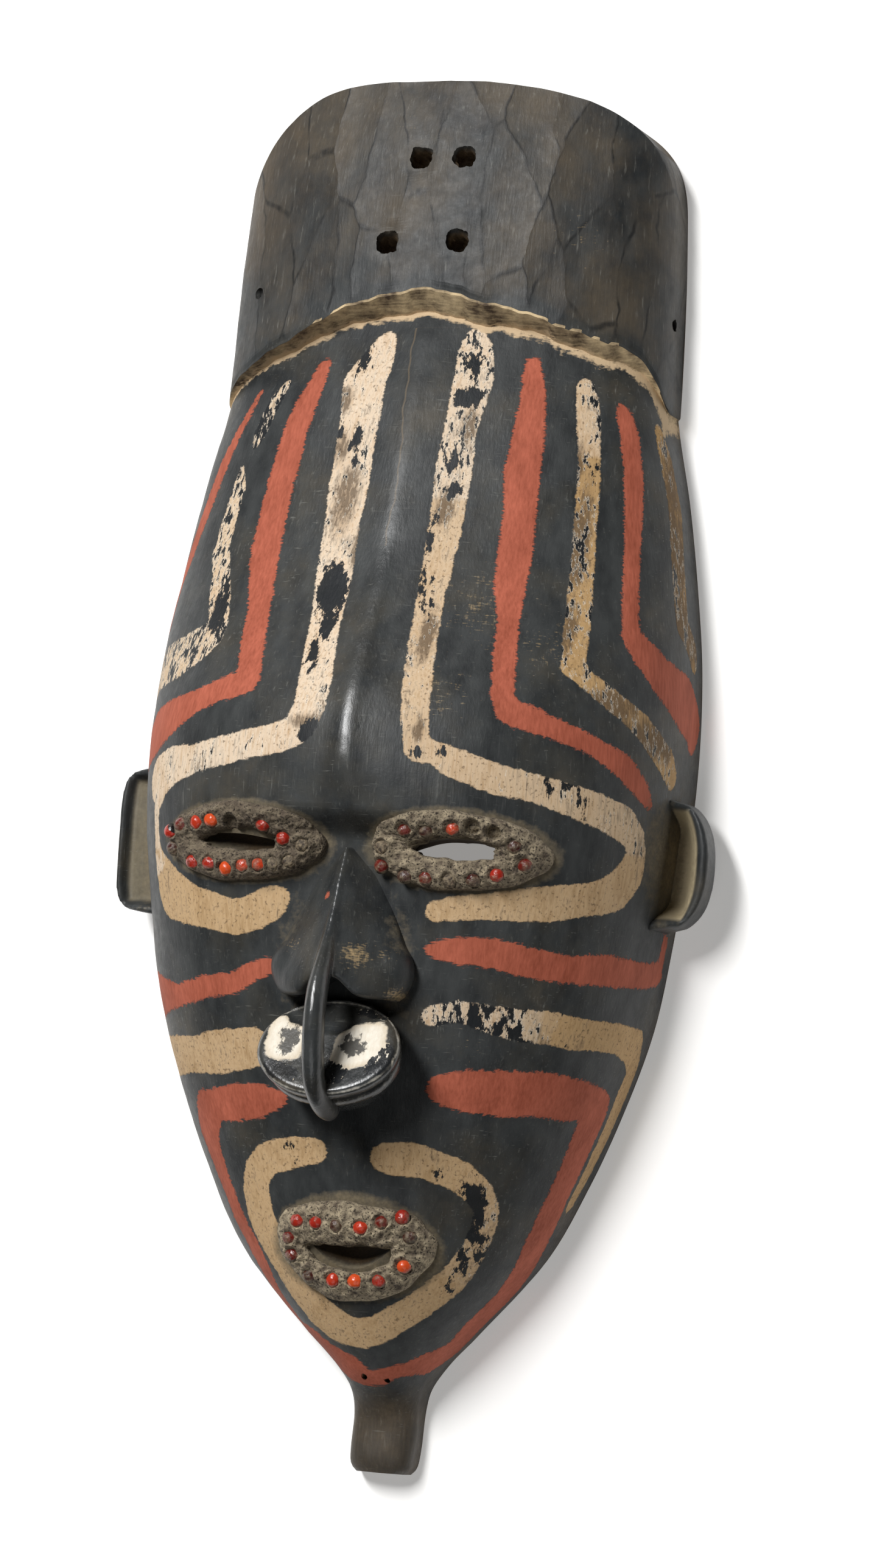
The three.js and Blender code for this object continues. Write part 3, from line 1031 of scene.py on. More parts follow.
@dataclass(frozen=True)
class Ears:
    """The ears: D-shaped blocks with a scoop in their front. In a pair of settings the left ear comes first."""

    form: FaceForm
    inset: float = 8.0
    reach: float = 13.5
    y: float = -26.0
    half_heights: Pair = (25.5, 23)
    back: float = 7.0
    front: float = 28.0
    # The scoop's depth, its reach, and how much of its floor is lined with pale dust
    scoops: tuple[Triple, Triple] = ((5.5, 4.5, 0.35), (15, 10.5, 1))
    # How far out its ends lie, and the power of its bow
    outlines: tuple[Pair, Pair] = ((0.55, 5), (0.08, 2.3))
    # Where the pale lining starts in from the rim, and where it stops short of the head; the black left next to
    # the head is painted shade from the head
    lined: Pair = (3, 12.5)
    worn_and_highlit_ends: Pair = (11, 20)
    voxel: float = 0.85

    def outer(self, along: Array, side: Side) -> Array:
        """Gives how far out the ear's edge lies: nearly square on the left, a bow on the right.

        Args:
            along: -1 at the ear's lower end, 1 at its upper end.
            side: Which ear it is.

        Returns:
            The distance from the middle of the mask.
        """
        share, power = side.of(self.outlines)
        bulge = np.maximum(1 - np.abs(along) ** power, 0) ** 0.5
        return float(through(self.form.half_widths, self.y)) + self.reach * (share + (1 - share) * bulge)

    def rim_gap(self, x: Array, y: Array, side: Side) -> Array:
        """Gives how far places lie inside the ear's outer edge.

        Args:
            x: Places across the mask.
            y: Places along it.
            side: Which ear it is.

        Returns:
            The distance to the edge.
        """
        half = side.of(self.half_heights)
        along = np.clip((y - self.y) / half, -1, 1)
        return np.minimum(self.outer(along, side) - side.value * x, half * (1 - 0.06) - np.abs(y - self.y))

    def build(self, side: Side) -> Solid:
        """Carves one ear, marks its pale worn corners, which are partly a painted highlight, and marks the lining
        of its scoop.

        Args:
            side: Which ear it is.

        Returns:
            The ear.
        """
        sign = side.value
        root = float(through(self.form.half_widths, self.y)) - self.inset
        half = side.of(self.half_heights)
        depth, reach, lined = side.of(self.scoops)

        def place(across: Array, along: Array, front: Array) -> Array:
            """Gives points of the ear, where out runs from its root to its edge.

            Args:
                across: -1 at the left, 1 at the right.
                along: -1 at the lower end, 1 at the upper end.
                front: -1 at the back, 1 at the front.

            Returns:
                Rows of X, Y and Z.
            """
            out = (across * sign + 1) / 2
            x = root + (self.outer(along, side) - root) * out
            y = self.y + along * half * (1 - 0.08 * out)
            scoop = depth * soft_step(self.rim_gap(sign * x, y, side), 0.9, reach)
            high, low = self.front - 5 * out**3 - scoop, self.back + 5 * out**3
            return np.stack([sign * x, y, low + (high - low) * (front + 1) / 2], -1)

        made = remeshed(carved_box(f"ear_{side.name.lower()}", 48, place), self.voxel, 3)
        x, y, z = vectors(made.data).T
        upward = vectors(made.data, "normal")[:, 2]
        gap = self.rim_gap(x, y, side)
        facing = soft_step(upward, -0.1, 0.3) * soft_step(z, 9, 13)
        # Pale corners at both ends of the rim, only on faces turned up: worn paint, and partly a painted highlight
        worn = 0.6 * bell(gap - 0.9, 0.9) * soft_step(np.abs(y - self.y), *self.worn_and_highlit_ends)
        store(made.data, "worn_edge_and_highlight", worn * soft_step(upward, 0.3, 0.6))
        # The lining stops short of the head, so the black there paints the shade that the head casts
        frame, recess = self.lined
        inside = soft_step(gap, frame, frame + 1.5) * (1 - soft_step(gap, recess, recess + 2))
        store(made.data, "lining", lined * inside * facing)
        return made


@dataclass(frozen=True)
class Slits:
    """The openings of the eyes and the mouth: pointed at their ends, and cut through at their own slants."""

    eye: Pair = (36.5, -29.5)
    eye_half_length: float = 17.0
    eye_half_gap: float = 4.0
    eye_leans: Pair = (0.58, 0)
    eye_front: float = 81.0
    mouth: Pair = (0.5, -155)
    mouth_half_length: float = 15.6
    mouth_half_gap: float = 4.4
    mouth_sag: float = 6.2
    mouth_lean: float = 0.55
    mouth_front: float = 54.0
    low: float = 5.0
    proud: float = 14.0

    def cutter(self, centre: Triple, half: float, gap: float, sag: float, lean: float) -> Solid:
        """Makes a cutter whose upper and lower edges are smooth curves between its two ends.

        Args:
            centre: The middle of the slit on the face.
            half: Half its length.
            gap: Half its width in the middle.
            sag: How far its middle bends down.
            lean: How far it climbs to the cap for each millimetre that it goes in.

        Returns:
            The cutter, in millimetres.
        """

        def place(across: Array, along: Array, front: Array) -> Array:
            """Gives points of the cutter.

            Args:
                across: -1 at the left, 1 at the right.
                along: -1 at the lower end, 1 at the upper end.
                front: -1 at the back, 1 at the front.

            Returns:
                Rows of X, Y and Z.
            """
            arch = 1 - across**2
            z = self.low + (centre[2] + self.proud - self.low) * (front + 1) / 2
            y = centre[1] - sag * arch + along * (gap * arch + 0.05) + lean * (centre[2] - z)
            return np.stack([centre[0] + across * half, y, z], -1)

        return carved_box("slit", 20, place)

    def cutters(self) -> list[Solid]:
        """Makes the cutters of the openings.

        Returns:
            Those of the left eye, the right eye and the mouth.
        """
        made = []
        for side, lean in zip(Side, self.eye_leans):
            eye = (side.value * self.eye[0], self.eye[1], self.eye_front)
            made.append(self.cutter(eye, self.eye_half_length, self.eye_half_gap, 0.0, lean))
        sizes = (self.mouth_half_length, self.mouth_half_gap, self.mouth_sag, self.mouth_lean)
        return [*made, self.cutter((*self.mouth, self.mouth_front), *sizes)]


class SeedLook(Enum):
    """How a seed looks now: its shade of red, from 0 dark to 1 orange, and how much putty hides it."""

    BRIGHT = (0.6, 0.15)
    RED = (0.42, 0.32)
    DARK = (0.12, 0.4)
    ORANGE = (0.95, 0.2)
    PINK = (0.7, 0.45)
    GREY = (0.0, 0.46)
    COVERED = (0.1, 0.8)
    SPOTTED = (0.5, 0.25)
    BROKEN = (0.0, 0.5)


@dataclass(frozen=True)
class PuttyRing:
    """A ring of putty round an opening, and the seeds pressed into it, each as X and Y from the ring's middle.

    The sizes that have values are those of the eyes.
    """

    place: str
    centre: Pair
    dry: float
    seeds: tuple[tuple[float, float, SeedLook], ...]
    sockets: tuple[Pair, ...] = ()
    half_width: float = 28.6
    half_height: float = 12.5
    crest_x: float = 23.0
    crest_y: float = 8.0
    inner_x: float = 13.0
    inner_y: float = 3.4
    sag: float = -0.5
    bow: float = 0.0
    proud: float = 4.9
    bite: float = 0.6
    inner_bite: float = 4.0
    pocket: float = 2.9
    seed_radii: Triple = (2.6, 2.5, 2.3)
    seed_sink: float = 1.2
    around: int = 300
    section: int = 60

    def build(self, form: FaceForm) -> Solid:
        """Lays the ring on the face.

        Args:
            form: The face.

        Returns:
            The finished ring.
        """

        def place(turn: Array, around: Array) -> Array:
            """Gives points of the ring.

            Args:
                turn: -1 to 1, once round its section.
                around: -1 to 1, once round the opening.

            Returns:
                Rows of X, Y and Z.
            """
            angle, tube = math.pi * around, math.pi * turn
            wobble = 1 + 0.05 * np.sin(3 * angle + 1) + 0.05 * np.sin(7 * angle + 2.2) + 0.03 * np.sin(13 * angle)
            radial, lift = np.cos(tube), np.sin(tube)
            span_x = np.where(radial > 0, self.half_width - self.crest_x, self.crest_x - self.inner_x)
            span_y = np.where(radial > 0, self.half_height - self.crest_y, self.crest_y - self.inner_y)
            x = (self.crest_x + span_x * radial * wobble) * np.cos(angle)
            y = (self.crest_y + span_y * radial * wobble) * np.sin(angle)
            bend = np.maximum(1 - (x / (self.inner_x + 3)) ** 2, 0) * soft_step(-radial, -0.2, 0.9)
            lift_ends = self.bow * ((x / self.half_width) ** 2 - 0.4)
            x, y = x + self.centre[0], y + self.centre[1] - self.sag * bend + lift_ends
            bite = self.bite + self.inner_bite * soft_step(-radial, 0.1, 0.8)
            rise = np.where(lift > 0, self.proud * np.abs(lift) ** 0.6, -bite * np.abs(lift) ** 0.5)
            return np.stack([x, y, form.height_at(x, y) + rise], -1)

        made = carved_ring(f"putty_ring_{self.place}", self.section, self.around, place)
        self.crumble(made, form)
        return made

    def crumble(self, made: Solid, form: FaceForm) -> None:
        """Roughens the putty and presses its collars and empty sockets.

        Args:
            made: The ring.
            form: The face.
        """
        points = vectors(made.data)
        above = points[:, 2] - form.height_at(points[:, 0], points[:, 1])
        top = soft_step(above, 0.2, 1.6)
        rise = 0.7 * rough(points, 4.2, 3, 3.0) + 0.6 * rough(points, 1.5, 2, 9.0)
        for x, y, _ in self.seeds:
            gap = np.hypot(points[:, 0] - self.centre[0] - x, points[:, 1] - self.centre[1] - y)
            rise += 1.0 * bell(gap - self.pocket, 0.8) - 0.8 * bell(gap, self.pocket * 0.7)
        for x, y in self.sockets:
            gap = np.hypot(points[:, 0] - self.centre[0] - x, points[:, 1] - self.centre[1] - y)
            rise += 0.6 * bell(gap - self.pocket, 0.7) - 3.0 * (1 - soft_step(gap, 1.4, 2.7))
        points[:, 2] += top * rise
        move_vertices(made.data, points)
        store(made.data, "dry", np.full(len(points), self.dry))

    def seed(self, number: int, form: FaceForm) -> Solid:
        """Makes one seed, slightly uneven.

        Args:
            number: Which of the ring's seeds it is.
            form: The face.

        Returns:
            The seed in its place.
        """
        dx, dy, look = self.seeds[number]
        x, y = self.centre[0] + dx, self.centre[1] + dy
        z = float(form.height_at(x, y)) + self.proud - self.seed_sink
        made = egg(f"seed_{self.place}_{number + 1:02d}_red", (0, 0, 0), self.seed_radii)
        points = vectors(made.data)
        stretch = 1 + 0.05 * math.sin(number * 2.3)
        points *= np.array([stretch, 1 / stretch, 1.0])
        points += 0.06 * rough(points, 2.0, 1, number * 5.1)[:, None] * points
        spot = points @ np.array([0.55, 0.6, 0.58]) / 2.4
        store(made.data, "shade", np.full(len(points), look.value[0]))
        # Each seed's lower side gets more putty dust, which also paints the shade under the seed
        shadowed = 1 - soft_step(points[:, 2] + 0.5 * points[:, 1], -0.6, 1.2)
        store(made.data, "dust", look.value[1] + 0.45 * shadowed)
        store(made.data, "spot", spot if look is SeedLook.SPOTTED else np.full(len(points), -1.0))
        move_vertices(made.data, points + np.array([x, y, z]))
        return made


def seeds_of(*places: tuple[float, float, str]) -> tuple[tuple[float, float, SeedLook], ...]:
    """Reads rows of X, Y and the name of a look."""
    return tuple((x, y, SeedLook[look]) for x, y, look in places)


PUTTY_RINGS = (
    PuttyRing(
        place="eye_left", centre=(-36.5, -29.5), dry=0.3, sockets=((-2, 5.6),),
        seeds=seeds_of(
            (-26.5, 2.6, "SPOTTED"), (-21.6, 4.6, "DARK"), (-15, 5.4, "BRIGHT"), (-9.2, 6.2, "ORANGE"),
            (9.5, 5.2, "RED"), (15.8, 1.2, "RED"), (22.2, -0.6, "COVERED"), (-25.6, -2.8, "GREY"),
            (-17, -7.2, "RED"), (-10.2, -7.6, "RED"), (-4, -9, "ORANGE"), (2.2, -8, "PINK"), (7.4, -7.6, "PINK"),
            (12.6, -7, "COVERED"), (17.8, -6, "COVERED"),
        ),
    ),
    PuttyRing(
        place="eye_right", centre=(36.5, -29.5), dry=0.65, sockets=((6.7, 7.6), (13, 6)),
        seeds=seeds_of(
            (-15.4, 5.6, "DARK"), (-8.2, 5.6, "GREY"), (0.5, 6.6, "PINK"), (19, 2.4, "GREY"),
            (21.8, -3.2, "DARK"), (13.8, -7, "RED"), (6.6, -9, "GREY"), (-0.9, -9.6, "COVERED"),
            (-8.6, -9.3, "DARK"), (-15.8, -9, "GREY"), (-24.2, -6, "DARK"), (-23.8, -0.2, "COVERED"),
        ),
    ),
    PuttyRing(
        place="mouth", centre=(0.5, -157.0), half_width=27.0, half_height=16.0, crest_x=20.0, crest_y=10.0,
        inner_x=14.4, inner_y=4.1, sag=2.5, bow=4.0, dry=0.9,
        seeds=seeds_of(
            (-17, 7.2, "RED"), (-10, 7, "RED"), (-3, 6.4, "GREY"), (5.2, 6.3, "BRIGHT"), (12, 8.3, "DARK"),
            (18.4, 10.4, "RED"), (20.4, 4.4, "BROKEN"), (18.2, -5, "ORANGE"), (10.2, -10.2, "RED"),
            (2.2, -11, "ORANGE"), (-5.4, -11, "BRIGHT"), (-13.8, -10, "GREY"), (-19.8, -3.7, "DARK"),
            (-20.6, 1.6, "DARK"),
        ),
    ),
)


class Paint(Enum):
    """The two earth paints of the stripes."""

    RED = "red_gap"
    CREAM = "cream_gap"


@dataclass(frozen=True)
class Stripe:
    """One painted stripe: its paint, how ochre it is, how worn, and stations of turn, Y and half width."""

    paint: Paint
    tone: float
    wear: float
    path: tuple[Triple, ...]
    step: float = 0.8
    turn_length: float = 90.0

    def samples(self, form: FaceForm) -> tuple[Array, Array]:
        """Follows the stripe on the face.

        Args:
            form: The face.

        Returns:
            Points close together along the stripe, and the half width at each.
        """
        turns, ys, widths = np.array(self.path, float).T
        marks = np.concatenate([[0], np.cumsum(np.hypot(np.diff(turns) * self.turn_length, np.diff(ys)))])
        at = np.linspace(0, marks[-1], max(int(marks[-1] / self.step), 2))
        track = [np.interp(at, marks, values) for values in (turns, ys, widths)]
        return form.surface(track[0], track[1]), track[2]


RED, CREAM = Paint.RED, Paint.CREAM
STRIPES = (
    Stripe(RED, 0, 0.1, (
        (-.526, 124, .9), (-.596, 110, 2), (-.643, 97, 3.2), (-.686, 82, 3.5), (-.722, 71, 3.5), (-.776, 59, 3.5),
        (-.8, 46, 4), (-.86, 36, 5), (-.95, 28, 6), (-1, 22, 6),
    )),
    Stripe(CREAM, .3, .56, (
        (-.394, 127, .9), (-.42, 123, 2.2), (-.448, 116, 2.9), (-.463, 109, 2.8), (-.468, 105, 1.2),
    )),
    Stripe(CREAM, .25, .56, (
        (-.502, 97, 1.3), (-.491, 90, 3.2), (-.495, 83, 3.3), (-.497, 77, 3.8), (-.498, 69, 4.3),
        (-.468, 62, 4.1), (-.447, 55, 4.7), (-.417, 45, 4.6), (-.418, 39, 5.5), (-.47, 36, 7.5), (-.56, 32, 8),
        (-.712, 29, 8), (-.85, 22, 6), (-.95, 14, 5), (-1, 10, 4),
    )),
    Stripe(RED, 0, .1, (
        (-.267, 133, 2.1), (-.283, 126, 3.4), (-.3, 118, 4.5), (-.313, 110, 4.8), (-.314, 101, 5.3),
        (-.32, 91, 5.4), (-.317, 82, 5.7), (-.315, 70, 5.8), (-.301, 60, 5.3), (-.282, 49, 4.5), (-.273, 38, 4.8),
        (-.261, 29, 4.7), (-.255, 23, 5.1), (-.33, 20, 4.4), (-.421, 16, 4.4), (-.523, 12, 6.5), (-.641, 7, 8.3),
        (-.8, -1, 6), (-.95, -9, 4), (-1, -12, 3),
    )),
    Stripe(CREAM, .05, .38, (
        (-.088, 141, 3.6), (-.105, 134, 6.3), (-.124, 127, 8), (-.115, 114, 7.5), (-.112, 101, 7.1),
        (-.109, 88, 7.3), (-.107, 78, 6.4), (-.101, 65, 6.7), (-.094, 54, 6.3), (-.09, 43, 5.5), (-.079, 23, 6.1),
        (-.077, 15, 5.9), (-.088, 8, 5.9), (-.128, 4, 5.2), (-.204, 2, 4.9), (-.269, 0, 5), (-.385, -3, 4.8),
        (-.487, -5, 6.6), (-.581, -9, 8), (-.56, -11, 5.9), (-.582, -18, 2.4), (-.587, -26, 2), (-.582, -33, 3),
        (-.554, -39, 5.8),
    )),
    Stripe(CREAM, .75, .14, (
        (-.582, -33, 3), (-.554, -39, 5.8), (-.511, -46, 9), (-.413, -50, 6.8), (-.33, -52, 6.2),
        (-.256, -54, 5.7), (-.201, -52, 6), (-.157, -49, 5.7), (-.132, -47, 3.4),
    )),
    Stripe(CREAM, .05, .48, (
        (.124, 143, 3.5), (.129, 138, 5.8), (.134, 128, 6.6), (.116, 111, 5.3), (.111, 98, 6.1), (.11, 87, 5.7),
    )),
    Stripe(CREAM, .45, .36, (
        (.11, 87, 5.7), (.11, 76, 5.4), (.108, 63, 4.9), (.106, 50, 4.5), (.111, 37, 4.5), (.118, 24, 4.7),
        (.125, 12, 4.5), (.135, 2, 4.2), (.174, 1, 3.7), (.22, -2, 4.9), (.318, -6, 4.9), (.423, -8, 4.5),
        (.542, -11, 5.2), (.625, -13, 5.5), (.712, -16, 5.8), (.762, -20, 5.1), (.776, -25, 5.2),
    )),
    Stripe(CREAM, .7, .12, (
        (.776, -25, 5.2), (.764, -31, 6.6), (.716, -37, 6.8), (.658, -40, 5.8), (.571, -42, 5.4),
        (.484, -44, 5.8), (.404, -45, 5.3), (.334, -46, 4.5), (.269, -47, 4.1), (.211, -48, 3.6),
        (.178, -49, 3.1),
    )),
    Stripe(RED, 0, .08, (
        (.3, 135, 2.5), (.306, 129, 3.7), (.313, 123, 4.1), (.304, 112, 5.2), (.288, 97, 6), (.291, 84, 5.4),
        (.289, 71, 5.7), (.287, 58, 5.1), (.298, 46, 3.6), (.304, 33, 3.9), (.317, 21, 3.9), (.34, 16, 4.6),
        (.405, 14, 4.3), (.457, 12, 3.7), (.571, 8, 3.2), (.691, 2, 4.3), (.775, -5, 3.5), (.801, -8, 2),
    )),
    Stripe(CREAM, .4, .46, ((.491, 128, 2.9), (.5, 123, 3.7), (.505, 118, 4.1), (.502, 105, 3.7))),
    Stripe(CREAM, .9, .46, (
        (.502, 105, 3.7), (.494, 92, 3.9), (.486, 80, 3.9), (.484, 67, 4), (.483, 54, 4.4), (.484, 41, 4.3),
        (.485, 33, 4.1), (.534, 29, 3.5), (.625, 23, 3.8), (.73, 17, 4.3), (.867, 6, 5.3), (.894, 2, 4.2),
    )),
    Stripe(RED, 0, .12, (
        (.649, 122, 1.9), (.662, 119, 3.1), (.677, 113, 3.6), (.679, 100, 3.7), (.669, 88, 3.6), (.661, 75, 3.2),
        (.654, 62, 3.2), (.655, 52, 3.3), (.663, 46, 4), (.71, 41, 5.3), (.819, 33, 7), (.938, 27, 9.6),
        (1, 22, 8), (1, 16, 4.8),
    )),
    Stripe(CREAM, 1, .42, (
        (.862, 117, 1.9), (.896, 107, 4.1), (.925, 92, 4.8), (.911, 72, 4.7), (.92, 53, 4.8), (.99, 46, 4.8),
        (1, 41, 3.2),
    )),
    Stripe(CREAM, .3, .4, ((-.88, 112, 2), (-.91, 92, 4.5), (-.91, 72, 4.5), (-.93, 53, 4.8), (-1, 46, 4))),
    Stripe(RED, 0, .14, (
        (-1, -84, 6), (-.9, -81, 7), (-.748, -78, 7.6), (-.533, -79, 3.6), (-.372, -76, 3.8), (-.282, -75, 3.6),
        (-.219, -71, 3.2), (-.172, -69, 2.8),
    )),
    Stripe(CREAM, .7, .12, (
        (-.88, -143, 2), (-.9, -130, 3), (-.92, -113, 4), (-.88, -104, 6), (-.797, -98, 7), (-.497, -98, 6.1),
        (-.382, -97, 7.4), (-.302, -96, 6.9), (-.239, -95, 6.7),
    )),
    Stripe(RED, 0, .14, (
        (-.184, -111, 3.2), (-.265, -112, 5.9), (-.357, -113, 6.3), (-.473, -114, 5.3), (-.529, -116, 7.4),
        (-.576, -122, 6.6), (-.579, -128, 5.3), (-.58, -136, 4.6), (-.566, -143, 3.8), (-.565, -150, 4),
        (-.547, -157, 4.3), (-.568, -165, 4.3), (-.633, -172, 4), (-.686, -179, 4.3), (-.7, -184, 4.3),
        (-.547, -187, 4.8), (-.478, -192, 5.7), (-.328, -196, 6.9), (-.146, -199, 4.8), (.04, -199, 4.2),
        (.259, -197, 2.9), (.509, -195, 3.5), (.798, -192, 6), (.973, -188, 7.4),
    )),
    Stripe(RED, 0, .2, ((1, -44, 2.5), (1, -52, 3), (1, -60, 3))),
    Stripe(RED, 0, .1, (
        (.182, -61, 2.3), (.211, -61, 3.8), (.265, -61, 4.5), (.347, -61, 4.9), (.443, -63, 4.9),
        (.563, -64, 4.6), (.718, -63, 5.2), (.899, -63, 4.2), (1, -61, 4.2),
    )),
    Stripe(CREAM, .2, .56, ((.198, -82, 3.4), (.264, -80, 3.4), (.357, -82, 4.6), (.457, -83, 5.4))),
    Stripe(CREAM, .4, .46, ((.457, -83, 5.4), (.51, -83, 5.4))),
    Stripe(CREAM, .7, .32, ((.51, -83, 5.4), (.56, -83, 5.4))),
    Stripe(CREAM, .85, .14, (
        (.55, -83, 5.4), (.638, -84, 5.4), (.741, -84, 5.1), (.851, -84, 4.9), (.963, -86, 6.3), (1, -92, 5),
        (1, -101, 5), (1, -110, 4.8), (1, -119, 4.4), (1, -128, 4), (1, -138, 3),
    )),
    Stripe(RED, 0, .1, (
        (.249, -105, 5.1), (.315, -105, 6.9), (.441, -105, 7.8), (.576, -104, 7.6), (.698, -105, 7.4),
        (.807, -105, 5.7), (.856, -108, 7.9), (.855, -116, 7.3), (.858, -125, 7), (.858, -135, 6.7),
        (.865, -143, 7.2), (.883, -152, 7.4), (.941, -161, 7.7), (.987, -168, 8), (.978, -174, 8),
        (.964, -181, 8), (.973, -188, 7.4),
    )),
    Stripe(CREAM, .75, .16, (
        (-.09, -127, 4.4), (-.166, -128, 5.3), (-.258, -130, 5.5), (-.336, -135, 5.4), (-.373, -142, 6.1),
        (-.385, -150, 6.7), (-.369, -158, 6.5), (-.342, -165, 6.3), (-.315, -172, 7.2), (-.258, -179, 7.2),
        (-.155, -183, 6.9), (-.006, -185, 5.8), (.131, -183, 5.3), (.249, -179, 5.3), (.348, -175, 5.4),
        (.424, -170, 5.6), (.471, -166, 5.6),
    )),
    Stripe(CREAM, .65, .42, (
        (.471, -166, 5.6), (.497, -161, 5.2), (.506, -155, 4.6), (.509, -148, 4.4), (.492, -142, 4.1),
        (.439, -137, 4.8),
    )),
    Stripe(CREAM, .75, .16, (
        (.439, -137, 4.8), (.352, -132, 5.2), (.274, -130, 5.3), (.197, -128, 5.7), (.128, -128, 5.6),
        (.1, -128, 5),
    )),
)
# Places where the paint has come off, as turn, Y, and their reach across and along
FLAKES = (
    (-.092, 54.3, 5.6, 9.5), (-.084, 45, 3, 9), (-.097, 32.7, 2, 7.2), (-.064, 6, 4.3, 4),
    (-.142, 135.8, 2.8, 5.2), (-.112, 106.5, 1.8, 4.8), (-.164, 108.7, 1.3, 3.4), (.131, 133.4, 2.2, 5.8),
    (.123, 121.8, 4.4, 3.6), (.106, 100.1, 2.4, 3.7), (.119, 90.6, 2.8, 1.9), (.082, 71.1, 1.1, 9),
    (.084, 57.3, 1.2, 5.2), (.104, 51.3, 1, 4.6), (.184, 1, 1.3, 1.5), (.132, .5, 2.1, 1.6), (.46, -6.1, .4, 1.8),
    (.556, -11, .8, 2.9), (.514, -5.8, 1.2, .8), (.522, 100.2, 1.2, 2.6), (-.424, 46.7, 3.5, 10.9),
    (.43, -140.8, 3.6, 8.4), (.461, -149.8, 2.5, 4), (.519, -152.4, 1.3, 5.7), (.54, -157.1, 1.5, 2.9),
    (.487, -160.6, 1.7, 4.2), (.458, -166.8, .8, 2.9), (-.181, -126.7, 1.6, 1), (-.159, -131, 1, .9),
    (.277, -131.7, 1, 1), (.312, -81.5, 3, 6), (.272, -85, 4.6, 2.2), (.45, -89, 4.5, 1), (.532, -77, 9, .8),
    (.384, -85, 2, 2.6), (.43, -86, 1.4, 2), (.36, -79, 2.6, 1),
)
# Places where the paint is worn thin and dark along the grain, in the same way. Those at turns .62 and .78 also
# paint the shade that falls on the lower right of the stripe there
STAINS_AND_SHADE = (
    (-.111, 85.3, 4.5, 13.6), (.1, 84.2, 2.6, 6.8), (.117, 39.9, 2.8, 11), (.138, 112.8, 2.4, 6),
    (-.17, 120.7, 2.8, 4.5), (.474, 77.6, 3, 25), (.466, 102.2, 1.8, 8.4), (.137, 8.1, 1.9, 4),
    (-.084, 9.4, 5, 2.5), (-.053, 69.2, 2.4, 9), (-.152, 103.8, 2.7, 6.6), (.46, 45, 2.2, 12), (.62, 22, 9, 5),
    (.78, 13, 9, 7), (.92, 88, 6, 34), (.95, 52, 7, 16),
)


